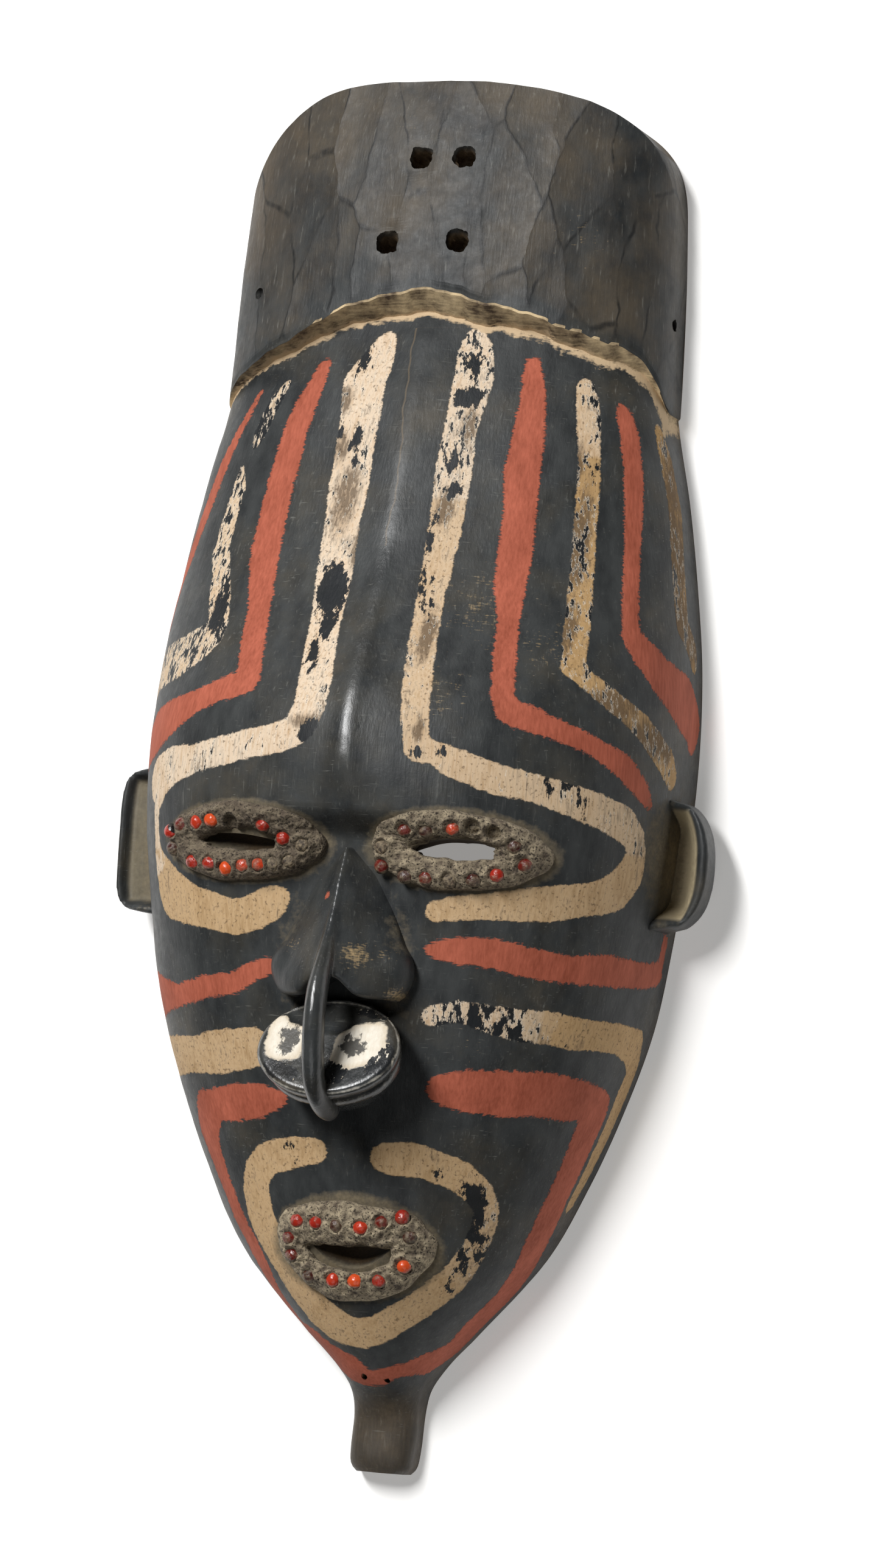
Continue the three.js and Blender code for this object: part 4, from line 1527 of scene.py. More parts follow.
@dataclass(frozen=True)
class Surface:
    """What lies where on the carved wood, stored as one number for each vertex for the painted wood to read."""

    form: FaceForm
    cap: CapForm
    disc: RingedDisc
    holes: tuple[Pair, ...]
    # Width, length and lean of the knife's cuts on the cap, and of the adze's in the hollow
    facet: Triple = (11.5, 36, -30)
    facet_depth: float = 0.4
    hollow_facet: Triple = (9, 26, 0)
    hollow_depth: float = 0.9
    undulation: float = 0.16
    # X, Y, half width, half height, slant and wear of each white patch
    whites: tuple[tuple[float, float, float, float, float, float], ...] = (
        (-14.2, 2.2, 6.9, 8.6, 0, 0.2), (10.6, 0.6, 8.6, 8.2, 0.25, 0.24), (-13.5, -10.2, 6.5, 3.2, -0.3, 0.8),
        (18.5, -4.5, 4.2, 5.5, 0.4, 0.78), (12.5, 13.5, 6, 2, -0.2, 0.75), (4.5, -9.5, 4, 4.5, 0, 0.8),
    )
    worn_whites: tuple[Four, ...] = ((-13.2, 1.8, 2.7, 5), (8.2, 0.4, 3.8, 3.6))
    trim: Stations = (
        (-75, 4), (-51, 4), (-42, 4.6), (-24, 4.5), (0, 4), (20, 4.6), (37, 6.4), (60, 5.6), (76, 6),
    )
    # Turn and Y along the crack
    crack: Stations = ((-.001, 70), (-.002, 81), (0, 95), (-.006, 110), (-.014, 127.5), (-.019, 146))
    red_fleck: Triple = (-4.1, -45.8, 88.4)
    # X, Y, reach and strength of knocks on the nose and of scrapes on the face and the cap
    knocks: tuple[Four, ...] = (
        (8.5, -65, 5.5, 0.85), (20, -77, 3.5, 0.85), (17, -64, 4, 0.5), (-15, -62, 4.5, 0.5),
    )
    scrapes: tuple[Four, ...] = (
        (36, 52, 18, 0.46), (58, 38, 14, 0.4), (24, 26, 10, 0.36), (-40, 30, 12, 0.3), (30, 20, 12, 0.4),
        (40, -90, 8, 0.3), (50, 178, 14, 0.3), (-10, 214, 10, 0.3),
    )

    def outer(self, points: Array, part: Array) -> Array:
        """Tells the outside of the wood from the hollow, the holes and the slits.

        Args:
            points: Rows of X, Y and Z.
            part: Each point's part.

        Returns:
            1 for the outside, 0 for the rest.
        """
        x, y, z = points.T
        face = self.form.depth_share(points)
        share = np.abs(x) / through(self.cap.half_widths, y)
        rim = self.form.rim_wall
        rise = np.maximum(z - rim, 0) / (through(self.cap.heights, y) - rim)
        power = float(through(self.form.powers, self.form.cap_top))
        capped = (share**power + rise**power) ** (1 / power)
        on_cap = y > self.cap.edge(x) - 0.1
        shell = np.where(on_cap, capped, face)
        front = soft_step(shell, 0.93, 0.955) * soft_step(z, 0.1, 0.6)
        return np.where(part > 1.5, 1.0, front)

    def cut(self, mesh: Mesh, outer: Array, part: Array) -> tuple[Array, Array]:
        """Leaves tool marks in the wood.

        Args:
            mesh: The carved wood.
            outer: 1 for each vertex on its outside.
            part: Each vertex's part.

        Returns:
            How far each vertex lies on the cap, and how near to the edge of a cut in the hollow.
        """
        points, facing = vectors(mesh), vectors(mesh, "normal")
        on_cap = outer * soft_step(points[:, 1] - self.cap.edge(points[:, 0]), 0.5, 4.0) * (part < 1.5)
        for x, y in self.holes:
            on_cap *= soft_step(np.hypot(points[:, 0] - x, points[:, 1] - y), 3.5, 9.0)
        inside = (1 - outer) * soft_step(points[:, 2], 0.5, 3.0)
        height = scallops(points, *self.facet, 4.0)[0]
        deep, deep_line = scallops(points, *self.hollow_facet, 11.0)
        move = self.facet_depth * on_cap * height + self.hollow_depth * inside * deep
        move += self.undulation * outer * rough(points, 14.0, 3, 2.0)
        points += facing * (move - self.facet_depth * on_cap * 0.6)[:, None]
        move_vertices(mesh, points)
        return on_cap, np.clip(deep_line * inside, 0, 1)

    def spot_gap(self, points: Array, spot: Four) -> Array:
        """Gives how far points lie outside an oval spot on the face.

        Args:
            points: Rows of X, Y and Z.
            spot: The spot's turn and Y, and its reach across and along.

        Returns:
            The distances in shares of the reach, less than 0 inside the spot.
        """
        turn, y, across, along = spot
        middle = self.form.surface(np.array([turn]), np.array([float(y)]))[0]
        away = (points - middle) / np.array([across, along, across * 2.5])
        return np.linalg.norm(away, axis=1) - 1

    def stripe_fields(self, points: Array, on_face: Array) -> dict[str, Array]:
        """Measures how far vertices lie outside the stripes and flakes, and takes on the nearest stripe's wear.

        Args:
            points: Rows of X, Y and Z.
            on_face: Whether each point is on the painted face.

        Returns:
            The fields by name.
        """
        count = len(points)
        fields = {"red_gap": np.full(count, FAR), "cream_gap": np.full(count, FAR)}
        fields |= {"tone": np.zeros(count), "wear": np.zeros(count), "flake_gap": np.full(count, FAR)}
        nearest = np.full(count, FAR)
        for stripe in STRIPES:
            spots, widths = stripe.samples(self.form)
            low, high = spots.min(0) - FAR, spots.max(0) + FAR
            near = np.flatnonzero(on_face & ((points > low) & (points < high)).all(1))
            gaps = np.linalg.norm(points[near, None] - spots[None], axis=2) - widths
            gap = gaps.min(1)
            gap_of_paint = fields[stripe.paint.value]
            gap_of_paint[near] = np.minimum(gap_of_paint[near], gap)
            closer = gap < nearest[near]
            nearest[near] = np.minimum(nearest[near], gap)
            for name, value in (("tone", stripe.tone), ("wear", stripe.wear)):
                fields[name][near[closer]] = value
        for spot in FLAKES:
            gap = self.spot_gap(points, spot) * min(spot[2:])
            fields["flake_gap"] = np.where(on_face, np.minimum(fields["flake_gap"], gap), FAR)
        # Stains along the grain; two of them also paint the shade on the lower right of a stripe
        fields["stain_and_shade"] = np.zeros(count)
        for spot in STAINS_AND_SHADE:
            stain_and_shade = 1 - soft_step(self.spot_gap(points, spot), -0.7, 0.5)
            fields["stain_and_shade"] = np.where(on_face, np.maximum(fields["stain_and_shade"], stain_and_shade), 0)
        return fields

    def disc_fields(self, points: Array, part: Array) -> dict[str, Array]:
        """Measures the white patches of the disc and its dark worn places.

        Args:
            points: Rows of X, Y and Z.
            part: Each point's part.

        Returns:
            The fields by name.
        """
        local = self.disc.local(points)
        on_face = (np.abs(part - 3) < 0.5) & (local[:, 2] > -2.4)
        x, y = local[:, 0], local[:, 1]
        white, worn = np.full(len(points), FAR), np.full(len(points), FAR)
        wear = np.zeros(len(points))
        for cx, cy, wide, tall, slant, worn_off in self.whites:
            u, v = x - cx, y - cy - slant * (x - cx)
            reach = ((np.abs(u) / wide) ** 3 + (np.abs(v) / tall) ** 3) ** (1 / 3)
            gap = (reach - 1) * min(wide, tall)
            if worn_off < 0.5:
                gap = np.maximum(gap, self.disc.lid_gap(x, y) + 0.6)
            wear = np.where(gap < white, worn_off, wear)
            white = np.minimum(white, gap)
        for cx, cy, wide, tall in self.worn_whites:
            worn = np.minimum(worn, (np.hypot((x - cx) / wide, (y - cy) / tall) - 1) * min(wide, tall))
        return {
            "white_gap": np.where(on_face, white, FAR), "worn_gap": np.where(on_face, worn, FAR),
            "disc_wear": np.where(on_face, wear, 0),
        }

    def dirt(self, points: Array, outer: Array) -> Array:
        """Gives how much putty-coloured dust lies on the wood: round the rings, beside the nose and by the ears.

        Args:
            points: Rows of X, Y and Z.
            outer: 1 for each point on the outside.

        Returns:
            From 0 for clean wood to 1.
        """
        x, y, z = points.T
        grime = np.zeros(len(points))
        for ring in PUTTY_RINGS:
            reach = np.hypot((x - ring.centre[0]) / ring.half_width, (y - ring.centre[1]) / ring.half_height)
            grime = np.maximum(grime, 0.7 * (1 - soft_step(reach, 1.0, 1.22)))
        crease = bell(np.abs(x) - 17, 8) * bell(y + 66, 22) * (1 - soft_step(z, 80, 90)) * (y < -38)
        by_ears = bell(np.abs(x) - 90, 5) * bell(y + 26, 22)
        return outer * np.maximum.reduce([grime, 0.5 * crease, 0.8 * by_ears])

    def rubbed(self, points: Array, outer: Array) -> Array:
        """Gives how far handling has worn the black to brown wood: on the cap, the peg and near the back rim.

        Args:
            points: Rows of X, Y and Z.
            outer: 1 for each point on the outside.

        Returns:
            From 0 for black wood to 1.
        """
        x, y, z = points.T
        cap_left = soft_step(-x, 25, 70) * soft_step(y, 150, 175)
        peg = 1 - soft_step(y, -212, -196)
        rims = soft_step(-z, -16, -2)
        on_cap = 0.25 * soft_step(y - self.cap.edge(x), 0, 8)
        return outer * np.clip(np.maximum.reduce([on_cap, 0.55 * cap_left, 0.5 * peg, 0.25 * rims]), 0, 1)

    def scuffed(self, points: Array, part: Array) -> Array:
        """Gives where knocks have scratched the black down to pale wood, most of it on the wings of the nose.

        Args:
            points: Rows of X, Y and Z.
            part: Each point's part.

        Returns:
            From 0 for sound wood to 1.
        """
        on_nose = np.abs(part - 2) < 0.5
        knocks, scrapes = (
            np.maximum.reduce([
                reach * bell(np.hypot(points[:, 0] - x, points[:, 1] - y), size) for x, y, size, reach in spots
            ])
            for spots in (self.knocks, self.scrapes)
        )
        return np.where(on_nose, knocks, scrapes * (part < 1.5))

    def polished(self, points: Array, part: Array) -> Array:
        """Gives how glossy touch has made the black: the rod, the disc, the ears, the keel and the brow.

        Args:
            points: Rows of X, Y and Z.
            part: Each point's part.

        Returns:
            From 0 for satin to 1.
        """
        x, y, z = points.T
        keel = (bell(x, 3.0) + 0.4 * bell(x, 10)) * soft_step(y, -26, -12) * (1 - soft_step(y, 50, 120))
        brow = bell(y + 12, 9) * bell(x, 40)
        rod = soft_step(z, 94, 99) * bell(x, 5)
        nose = np.clip(0.2 + 0.9 * rod + 0.6 * bell(x, 1.8), 0, 1)
        on_part = np.select([part > 3.5, part > 2.5, part > 1.5], [0.1, 1.0, nose], 0.0)
        return np.where(part > 1.5, on_part, np.clip(np.maximum(0.6 * keel, 0.6 * brow), 0, 1))

    def build(self, made: Solid) -> None:
        """Cuts the tool marks and stores every field.

        Args:
            made: The carved wood, whose vertices store their part.
        """
        mesh = made.data
        part = stored(mesh, "part")
        # A vertex that a cut has made takes its neighbour's part. Tests such as part > 1.5 fall between two parts
        for edge_a, edge_b in (edge.vertices for edge in mesh.edges):
            part[edge_a] = part[edge_a] or part[edge_b]
            part[edge_b] = part[edge_b] or part[edge_a]
        points = vectors(mesh)
        outer = self.outer(points, part)
        on_cap, line = self.cut(mesh, outer, part)
        below = self.cap.edge(points[:, 0]) - points[:, 1]
        on_face = (part < 1.5) & (outer > 0.3) & (below > 0)
        fields = self.stripe_fields(points, on_face) | self.disc_fields(points, part)
        fields["wear"] += fields.pop("disc_wear")
        trim = (below - through(self.cap.ledge, points[:, 0])) / through(self.trim, points[:, 0])
        fields["trim_gap"] = np.where(part > 1.5, 9, np.where(below > -0.05, np.clip(trim, -7, 9), -9))
        turn, y = np.array(self.crack).T
        line_x = np.interp(points[:, 1], y, self.form.surface(turn, y)[:, 0], left=FAR, right=FAR)
        line_x += 0.35 * np.sin(0.31 * points[:, 1]) + 0.2 * np.sin(0.9 * points[:, 1])
        fields["crack_gap"] = np.where(on_face & (points[:, 1] > y[0]), points[:, 0] - line_x, FAR)
        fleck = (points - np.array(self.red_fleck)) / np.array([1.0, 1.0, 1.2])
        fields["red_gap"] = np.minimum(fields["red_gap"], np.linalg.norm(fleck, axis=1) - 1.0)
        fields["bare"] = 1 - outer
        fields["polish"] = self.polished(points, part)
        fields["tool_line"] = line
        fields["knifed"] = on_cap
        fields["grime"] = self.dirt(points, outer)
        fields["rub"] = self.rubbed(points, outer)
        fields["scuff"] = self.scuffed(points, part)
        for name, values in fields.items():
            store(mesh, name, values)
        LOG.info("surface: %d fields on %d vertices", len(fields), len(points))


@dataclass(frozen=True)
class PaintedWood:
    """Carved hardwood rubbed with soot and oil, with stripes of clay paint.

    The black is grey and satin, with brown dust in it and the grain as fine hairs. The paint is matt and thin, so
    its edges are ragged, its wear follows the grain, and it breaks off in flakes with pale edges.
    """

    black: Shades = ("#262829", "#3c3e3e")
    flaked: str = "#14171b"
    dusty: str = "#4f493c"
    hair: str = "#83837d"
    scuff: str = "#b59c74"
    line: str = "#151617"
    brown: Shades = ("#43392f", "#75654f")
    raw: Shades = ("#2f261d", "#6b573d")
    red: Shades = ("#8c4632", "#b9654e")
    pale: Shades = ("#bda07f", "#f3e4cf")
    ochre: Shades = ("#96764a", "#cba46d")
    white: Shades = ("#d8cdb9", "#f4eddf")
    speckle: str = "#5d4b38"
    chip: str = "#f3e8d6"
    dust: Shades = ("#574d3d", "#867a63")
    ledge: Shades = ("#4d4034", "#cdb68f")
    trim: str = "#c6ad8b"
    # The pale of worn edges on the ears and the disc, partly a painted highlight
    edge: str = "#b7b2a6"
    lining: Shades = ("#6a5e4b", "#cbbb98")
    satin: Pair = (0.4, 0.54)
    polish: float = 0.24
    clay: float = 0.74
    bare: float = 0.88
    nodes: MaterialNodes = field(default_factory=lambda: MaterialNodes("soot_black_and_clay_paint_on_hardwood"))

    def build(self) -> bpy.types.Material:
        """Makes the material.

        Returns:
            The painted wood, for a mesh that stores what lies where.
        """
        nodes, add = self.nodes, self.nodes.add
        self.add_patterns()
        cuts, edges = self.knife_cuts()
        nodes.named["tool_line"] = add("Math MAXIMUM", ("tool_line", edges))
        colour, roughness = self.wood()
        kept = self.kept()
        # The brush was drawn along the stripes, and its hairs left a fine comb across their edges
        painted = 0.0
        for name, paint, comb, reach, soft in (
            ("red", "red", 2.4, 1.7, 0.3), ("cream", self.cream(), 0.8, 2.1, 0.22),
            ("white", self.yellowed(), 0.6, 2.2, 0.3),
        ):
            wobble = add("Math MULTIPLY_ADD", ("streak", comb, -0.5 - comb / 2))
            wobble = add("Math ADD", ("ragged", wobble))
            nodes.named[f"{name}_wobble"] = wobble
            gap = add("Math MULTIPLY_ADD", (wobble, reach, f"{name}_gap"))
            inside = add("MapRange", (gap, soft, -soft))
            bared = add("Math MULTIPLY", (inside, 0.8))
            cover = add("Math MULTIPLY", (inside, kept))
            for share, coat in ((bared, self.flaked), (cover, paint)):
                colour = add("Mix RGBA", {0: share, 6: colour, 7: coat}, 2)
            painted = add("Math MAXIMUM", (painted, cover))
        colour, trimmed = self.trimmed(colour)
        painted = add("Math MAXIMUM", (painted, trimmed))
        colour, dirty = self.dirt(colour)
        for cover, value in ((painted, self.clay), (dirty, self.bare)):
            roughness = add("Mix", {0: cover, 2: roughness, 3: value})
        # Soot drinks in the oil, so only what hands have rubbed shines like varnish
        gloss = add("MapRange", ("polish", 0.0, 1.0, 0.2, 0.6))
        # Heights are in millimetres: paint stands 0.12 proud, and the grain is drawn 0.13 deep so that it shows
        height = cuts
        for relief, depth in ((painted, 0.12), ("grain", 0.13), ("ragged", 0.1)):
            height = add("Math MULTIPLY_ADD", (relief, depth, height))
        bump = add("Bump", {"Height": height, "Strength": 0.8, "Distance": MM}, "Normal")
        look = {"Base Color": colour, "Roughness": roughness, "Specular IOR Level": gloss, "Normal": bump}
        nodes.feed(nodes.shader, look)
        return nodes.material

    def add_patterns(self) -> None:
        """Adds the noises, each with the size of its lumps in millimetres, and the paints' own shades."""
        add = self.nodes.add
        # The grain runs along the mask, so the patterns that follow it are stretched that way
        for name, turn, stretch in (
            ("along", 0, (1, 0.1, 1)), ("longish", 0, (1, 0.4, 1)), ("across", 0, (0.1, 1, 1)),
            ("dashes", 0, (1, 0.22, 1)), ("slant", 0.35, (0.06, 1, 0.5)),
        ):
            turned = {"Vector": "place", "Rotation": (0.0, 0.0, turn), "Scale": stretch}
            self.nodes.named[name] = add("Mapping", turned)
        for name, vector, size, detail, harsh in (
            ("blotch", "place", 26, 6, 0.62), ("patch", "longish", 8, 5, 0.6), ("grain", "along", 0.9, 4, 0.6),
            ("speck", "place", 1, 2, 0.5), ("ragged", "place", 3, 6, 0.66), ("flecks", "longish", 2.4, 6, 0.7),
            ("scratch", "slant", 0.55, 2, 0.5), ("streak", "across", 0.9, 5, 0.65),
            ("chips", "dashes", 1.3, 4, 0.65),
        ):
            lumps = {"Vector": vector, "Scale": 1000 / size, "Detail": detail, "Roughness": harsh}
            self.nodes.named[name] = add("TexNoise", lumps, "Fac")
        shade = add("Math ADD", ("patch", "grain"))
        self.nodes.named["shade"] = add("MapRange", (shade, 0.66, 1.34))
        for name in ("red", "pale", "ochre", "white"):
            dark, light = getattr(self, name)
            self.nodes.named[name] = add("Mix RGBA", {0: "shade", 6: dark, 7: light}, 2)

    def knife_cuts(self) -> tuple[Socket, Socket]:
        """Draws the long shallow cuts of a knife on the cap, 14 mm wide, which meet in crisp broken lines.

        Returns:
            The sockets of the cuts' height in millimetres and of the lines between them.
        """
        add = self.nodes.add
        drift = add("TexNoise", {"Vector": "place", "Scale": 1000 / 20, "Detail": 3.0}, "Color")
        drift = add("VectorMath MULTIPLY", (drift, (0.008, 0.008, 0.008)))
        drift = add("VectorMath ADD", ("place", drift))
        cells = add("Mapping", {"Vector": drift, "Rotation": (0.0, 0.0, 0.42), "Scale": (1.0, 0.3, 0.5)})
        cells = {"Vector": cells, "Scale": 1000 / 14}
        bowls = add("TexVoronoi", cells, "Distance", feature="F1")
        bowls = add("Math POWER", (bowls, 2.0))
        bowls = add("Math MULTIPLY", (bowls, 1.7))
        edges = add("TexVoronoi", cells, "Distance", feature="DISTANCE_TO_EDGE")
        edges = add("MapRange", (edges, 0.035, 0.01))
        broken = add("MapRange", ("patch", 0.42, 0.56))
        edges = add("Math MULTIPLY", (edges, broken))
        bowls, edges = (add("Math MULTIPLY", (mark, "knifed")) for mark in (bowls, edges))
        return bowls, edges

    def wood(self) -> tuple[Socket, Socket]:
        """Mixes the black, its dust and scratches, the pale worn edges that are partly a painted highlight, the
        brown of rubbed places and the raw wood of the hollow.

        Returns:
            The sockets of the colour and the roughness.
        """
        add = self.nodes.add
        brown, raw, lined = (
            add("Mix RGBA", {0: pattern, 6: dark, 7: light}, 2)
            for pattern, (dark, light) in (("grain", self.brown), ("grain", self.raw), ("ragged", self.lining))
        )
        hairs = []
        where = add("MapRange", ("blotch", 0.35, 0.6))
        for name, start, end, most, on_cap in (("grain", 0.6, 0.8, 0.5, 0.8), ("scratch", 0.66, 0.76, 0.4, -0.8)):
            fine = add("MapRange", (name, start, end, 0.0, most))
            there = add("Math MULTIPLY_ADD", ("knifed", on_cap, where), use_clamp=True)
            hairs.append(add("Math MULTIPLY", (fine, there)))
        rub = add("Math ADD", ("blotch", "rub"))
        # Pale worn edges of the ears and the disc, partly a painted highlight
        worn = add("Math MULTIPLY", ("worn_edge_and_highlight", "ragged"))
        scuff = add("Math ADD", ("chips", "scratch"))
        scuff = add("Math MULTIPLY_ADD", ("scuff", 0.8, scuff))
        crack = add("Math ABSOLUTE", ("crack_gap",))
        tone, dusty, rub, line, worn, scuff, crack = (
            add("MapRange", (value, start, end, 0.0, most))
            for value, start, end, most in (
                ("patch", 0.34, 0.66, 1), ("blotch", 0.47, 0.7, 0.4), (rub, 0.6, 1.3, 0.85),
                ("tool_line", 0, 1, 0.75), (worn, 0.3, 0.6, 1), (scuff, 1.42, 1.85, 0.85),
                (crack, 0.4, 0.15, 0.45),
            )
        )
        colour = self.black[0]
        for cover, coat in (
            (tone, self.black[1]), (dusty, self.dusty), (rub, brown), (hairs[0], self.hair),
            (hairs[1], self.hair), (line, self.line), (worn, self.edge), ("lining", lined), (scuff, self.scuff),
            (crack, self.brown[1]), ("bare", raw),
        ):
            colour = add("Mix RGBA", {0: cover, 6: colour, 7: coat}, 2)
        low, high = self.satin
        roughness = add("MapRange", ("ragged", 0.3, 0.7, low, high))
        for cover, value in (("polish", self.polish), ("lining", self.bare), ("bare", self.bare)):
            roughness = add("Mix", {0: cover, 2: roughness, 3: value})
        return colour, roughness

    def kept(self) -> Socket:
        """Tells where the paint is still on the wood, and names where it is about to flake, chipped.

        Returns:
            The socket of the paint that is left, 1 where it is.
        """
        add = self.nodes.add
        limit = add("Math MULTIPLY_ADD", ("wear", 0.5, 0.06))
        limit = add("Math MULTIPLY_ADD", ("patch", 0.3, limit))
        left = add("Math ADD", ("chips", "flecks"))
        left = add("Math MULTIPLY", (left, 0.5))
        left = add("Math SUBTRACT", (left, limit))
        self.nodes.named["chipped"] = add("MapRange", (left, 0.035, 0.01, 0.0, 0.6))
        left = add("MapRange", (left, -0.01, 0.01))
        wobble = add("Math SUBTRACT", ("flecks", 0.5))
        for name, reach, soft, least in (("flake_gap", 13.0, 0.15, 0.0), ("worn_gap", 12.0, 0.35, 0.1)):
            gap = add("Math MULTIPLY_ADD", (wobble, reach, name))
            gap = add("MapRange", (gap, -soft, soft, least))
            left = add("Math MULTIPLY", (left, gap))
        return left

    def cream(self) -> Socket:
        """Mixes the cream paint: pale to ochre, with small dark specks, dark worn grain that at two stains is also
        painted shade, and pale chips.

        Returns:
            The socket of the colour.
        """
        add = self.nodes.add
        specks = add("MapRange", ("speck", 0.59, 0.7, 0.0, 0.65))
        # Worn grain shows where the fine streaks meet a worn patch, and at two stains it also paints shade
        streaks = add("Math ADD", ("grain", "patch"))
        for worn, share in (("stain_and_shade", 0.36), ("wear", 0.2)):
            streaks = add("Math MULTIPLY_ADD", (worn, share, streaks))
        streaks = add("MapRange", (streaks, 1.1, 1.38, 0.0, 0.85))
        paint = "pale"
        dark = self.speckle
        for cover, coat in (("tone", "ochre"), (specks, dark), (streaks, dark), ("chipped", self.chip)):
            paint = add("Mix RGBA", {0: cover, 6: paint, 7: coat}, 2)
        return paint

    def yellowed(self) -> Socket:
        """Mixes the white of the disc, which has yellowed in flecks along its edges.

        Returns:
            The socket of the colour.
        """
        add = self.nodes.add
        old = add("MapRange", ("white_gap", -2.2, -0.4, 0.0, 0.75))
        old = add("Math MULTIPLY", (old, "flecks"))
        return add("Mix RGBA", {0: old, 6: "white", 7: self.scuff}, 2)

    def trimmed(self, colour: Socket) -> tuple[Socket, Socket]:
        """Lays the brown ledge and the cream line under the cap.

        Args:
            colour: The socket of the colour under them.

        Returns:
            The sockets of the colour and of where they cover.
        """
        add = self.nodes.add
        below = add("Math MULTIPLY_ADD", ("cream_wobble", 0.7, "trim_gap"))
        tone = add("Math MULTIPLY_ADD", ("streak", 0.5, "patch"))
        tone = add("MapRange", (tone, 0.56, 0.9))
        ledge = add("Mix RGBA", {0: tone, 6: self.ledge[0], 7: self.ledge[1]}, 2)
        cover = add("MapRange", ("trim_gap", -8.5, -8.0))
        leaves = add("MapRange", (below, 0.1, -0.1))
        # The cream is thick at the foot of the ledge and thins out in streaks below it
        band = add("MapRange", (below, -0.25, -0.1))
        thin = add("MapRange", (below, 0.1, 1.1, 0.38, 0.74))
        left = add("Math ADD", ("streak", "patch"))
        left = add("Math MULTIPLY_ADD", (left, 0.5, -0.02))
        left = add("Math SUBTRACT", (left, thin))
        left = add("MapRange", (left, -0.03, 0.05, 0.0, 0.92))
        outside = add("Math SUBTRACT", (1.0, "bare"))
        for limit in (leaves, outside):
            cover = add("Math MULTIPLY", (cover, limit))
        for limit in (left, outside):
            band = add("Math MULTIPLY", (band, limit))
        for share, coat in ((cover, ledge), (band, self.trim)):
            colour = add("Mix RGBA", {0: share, 6: colour, 7: coat}, 2)
        return colour, add("Math MAXIMUM", (cover, band))

    def dirt(self, colour: Socket) -> tuple[Socket, Socket]:
        """Lays the dust over the wood and the paint.

        Args:
            colour: The socket of the colour under it.

        Returns:
            The sockets of the colour and of where it covers.
        """
        add = self.nodes.add
        dust = add("Mix RGBA", {0: "speck", 6: self.dust[0], 7: self.dust[1]}, 2)
        cover = add("Math ADD", ("grime", "ragged"))
        cover = add("MapRange", (cover, 0.75, 1.3, 0.0, 0.9))
        return add("Mix RGBA", {0: cover, 6: colour, 7: dust}, 2), cover


@dataclass(frozen=True)
class DriedPutty:
    """A putty of earth and plant sap, pressed on with the fingers: dry, crumbly and fully matt."""

    colours: Shades = ("#51463a", "#b5a68a")
    crack: str = "#272019"

    def build(self) -> bpy.types.Material:
        """Makes the material.

        Returns:
            The putty, for a mesh that stores how dry it is.
        """
        nodes = MaterialNodes("dried_earth_putty")
        add = nodes.add
        lumps = add("TexNoise", {"Vector": "place", "Scale": 1000 / 2.4, "Detail": 6.0}, "Fac")
        grit = add("TexNoise", {"Vector": "place", "Scale": 1000 / 0.7, "Detail": 2.0}, "Fac")
        tone = add("MapRange", (lumps, 0.32, 0.68))
        tone = add("Math MULTIPLY", (tone, "dry"))
        dark = add("MapRange", (grit, 0.47, 0.33))
        colour = self.colours[0]
        for cover, coat in ((tone, self.colours[1]), (dark, self.crack)):
            colour = add("Mix RGBA", {0: cover, 6: colour, 7: coat}, 2)
        height = add("Math MULTIPLY_ADD", (grit, 0.35, lumps))
        bump = add("Bump", {"Height": height, "Strength": 0.9, "Distance": MM}, "Normal")
        nodes.feed(nodes.shader, {"Base Color": colour, "Roughness": 0.95, "Normal": bump})
        return nodes.material


@dataclass(frozen=True)
class SeedCoat:
    """The hard red coat of a dried seed: smooth and glossy where it is clean, dull where putty dust clings and on
    its underside, where the dust is also painted shade.
    """

    shades: tuple[str, str, str] = ("#3c1512", "#a82a1c", "#cf4f24")
    # Putty dust, laid thicker on a seed's underside, where it is painted shade too
    dust: Shades = ("#352c23", "#85765f")
    spot: str = "#141010"
    clean: float = 0.24
    dusted: float = 0.75

    def build(self) -> bpy.types.Material:
        """Makes the material.

        Returns:
            The coat, for a mesh that stores its shade of red, its dust with the painted shade under the seed, and
            its spot.
        """
        nodes = MaterialNodes("glossy_red_seed_coat")
        add = nodes.add
        mottle = add("TexNoise", {"Vector": "place", "Scale": 1000 / 1.8, "Detail": 3.0}, "Fac")
        grit = add("TexNoise", {"Vector": "place", "Scale": 1000 / 1.1, "Detail": 3.0}, "Fac")
        cover = add("Math ADD", ("dust", mottle))
        grit, dark, light, spot, cover = (
            add("MapRange", (value, start, end))
            for value, start, end in (
                (grit, 0.34, 0.66), ("shade", 0.0, 0.5), ("shade", 0.5, 1.0), ("spot", 0.5, 0.62),
                (cover, 0.8, 1.2),
            )
        )
        dust = add("Mix RGBA", {0: grit, 6: self.dust[0], 7: self.dust[1]}, 2)
        colour = self.shades[0]
        for share, coat in ((dark, self.shades[1]), (light, self.shades[2]), (spot, self.spot), (cover, dust)):
            colour = add("Mix RGBA", {0: share, 6: colour, 7: coat}, 2)
        roughness = add("Mix", {0: cover, 2: self.clean, 3: self.dusted})
        height = add("Math MULTIPLY", (grit, cover))
        height = add("Math MULTIPLY_ADD", (height, 0.8, mottle))
        bump = add("Bump", {"Height": height, "Strength": 0.4, "Distance": MM}, "Normal")
        nodes.feed(nodes.shader, {"Base Color": colour, "Roughness": roughness, "Normal": bump})
        return nodes.material


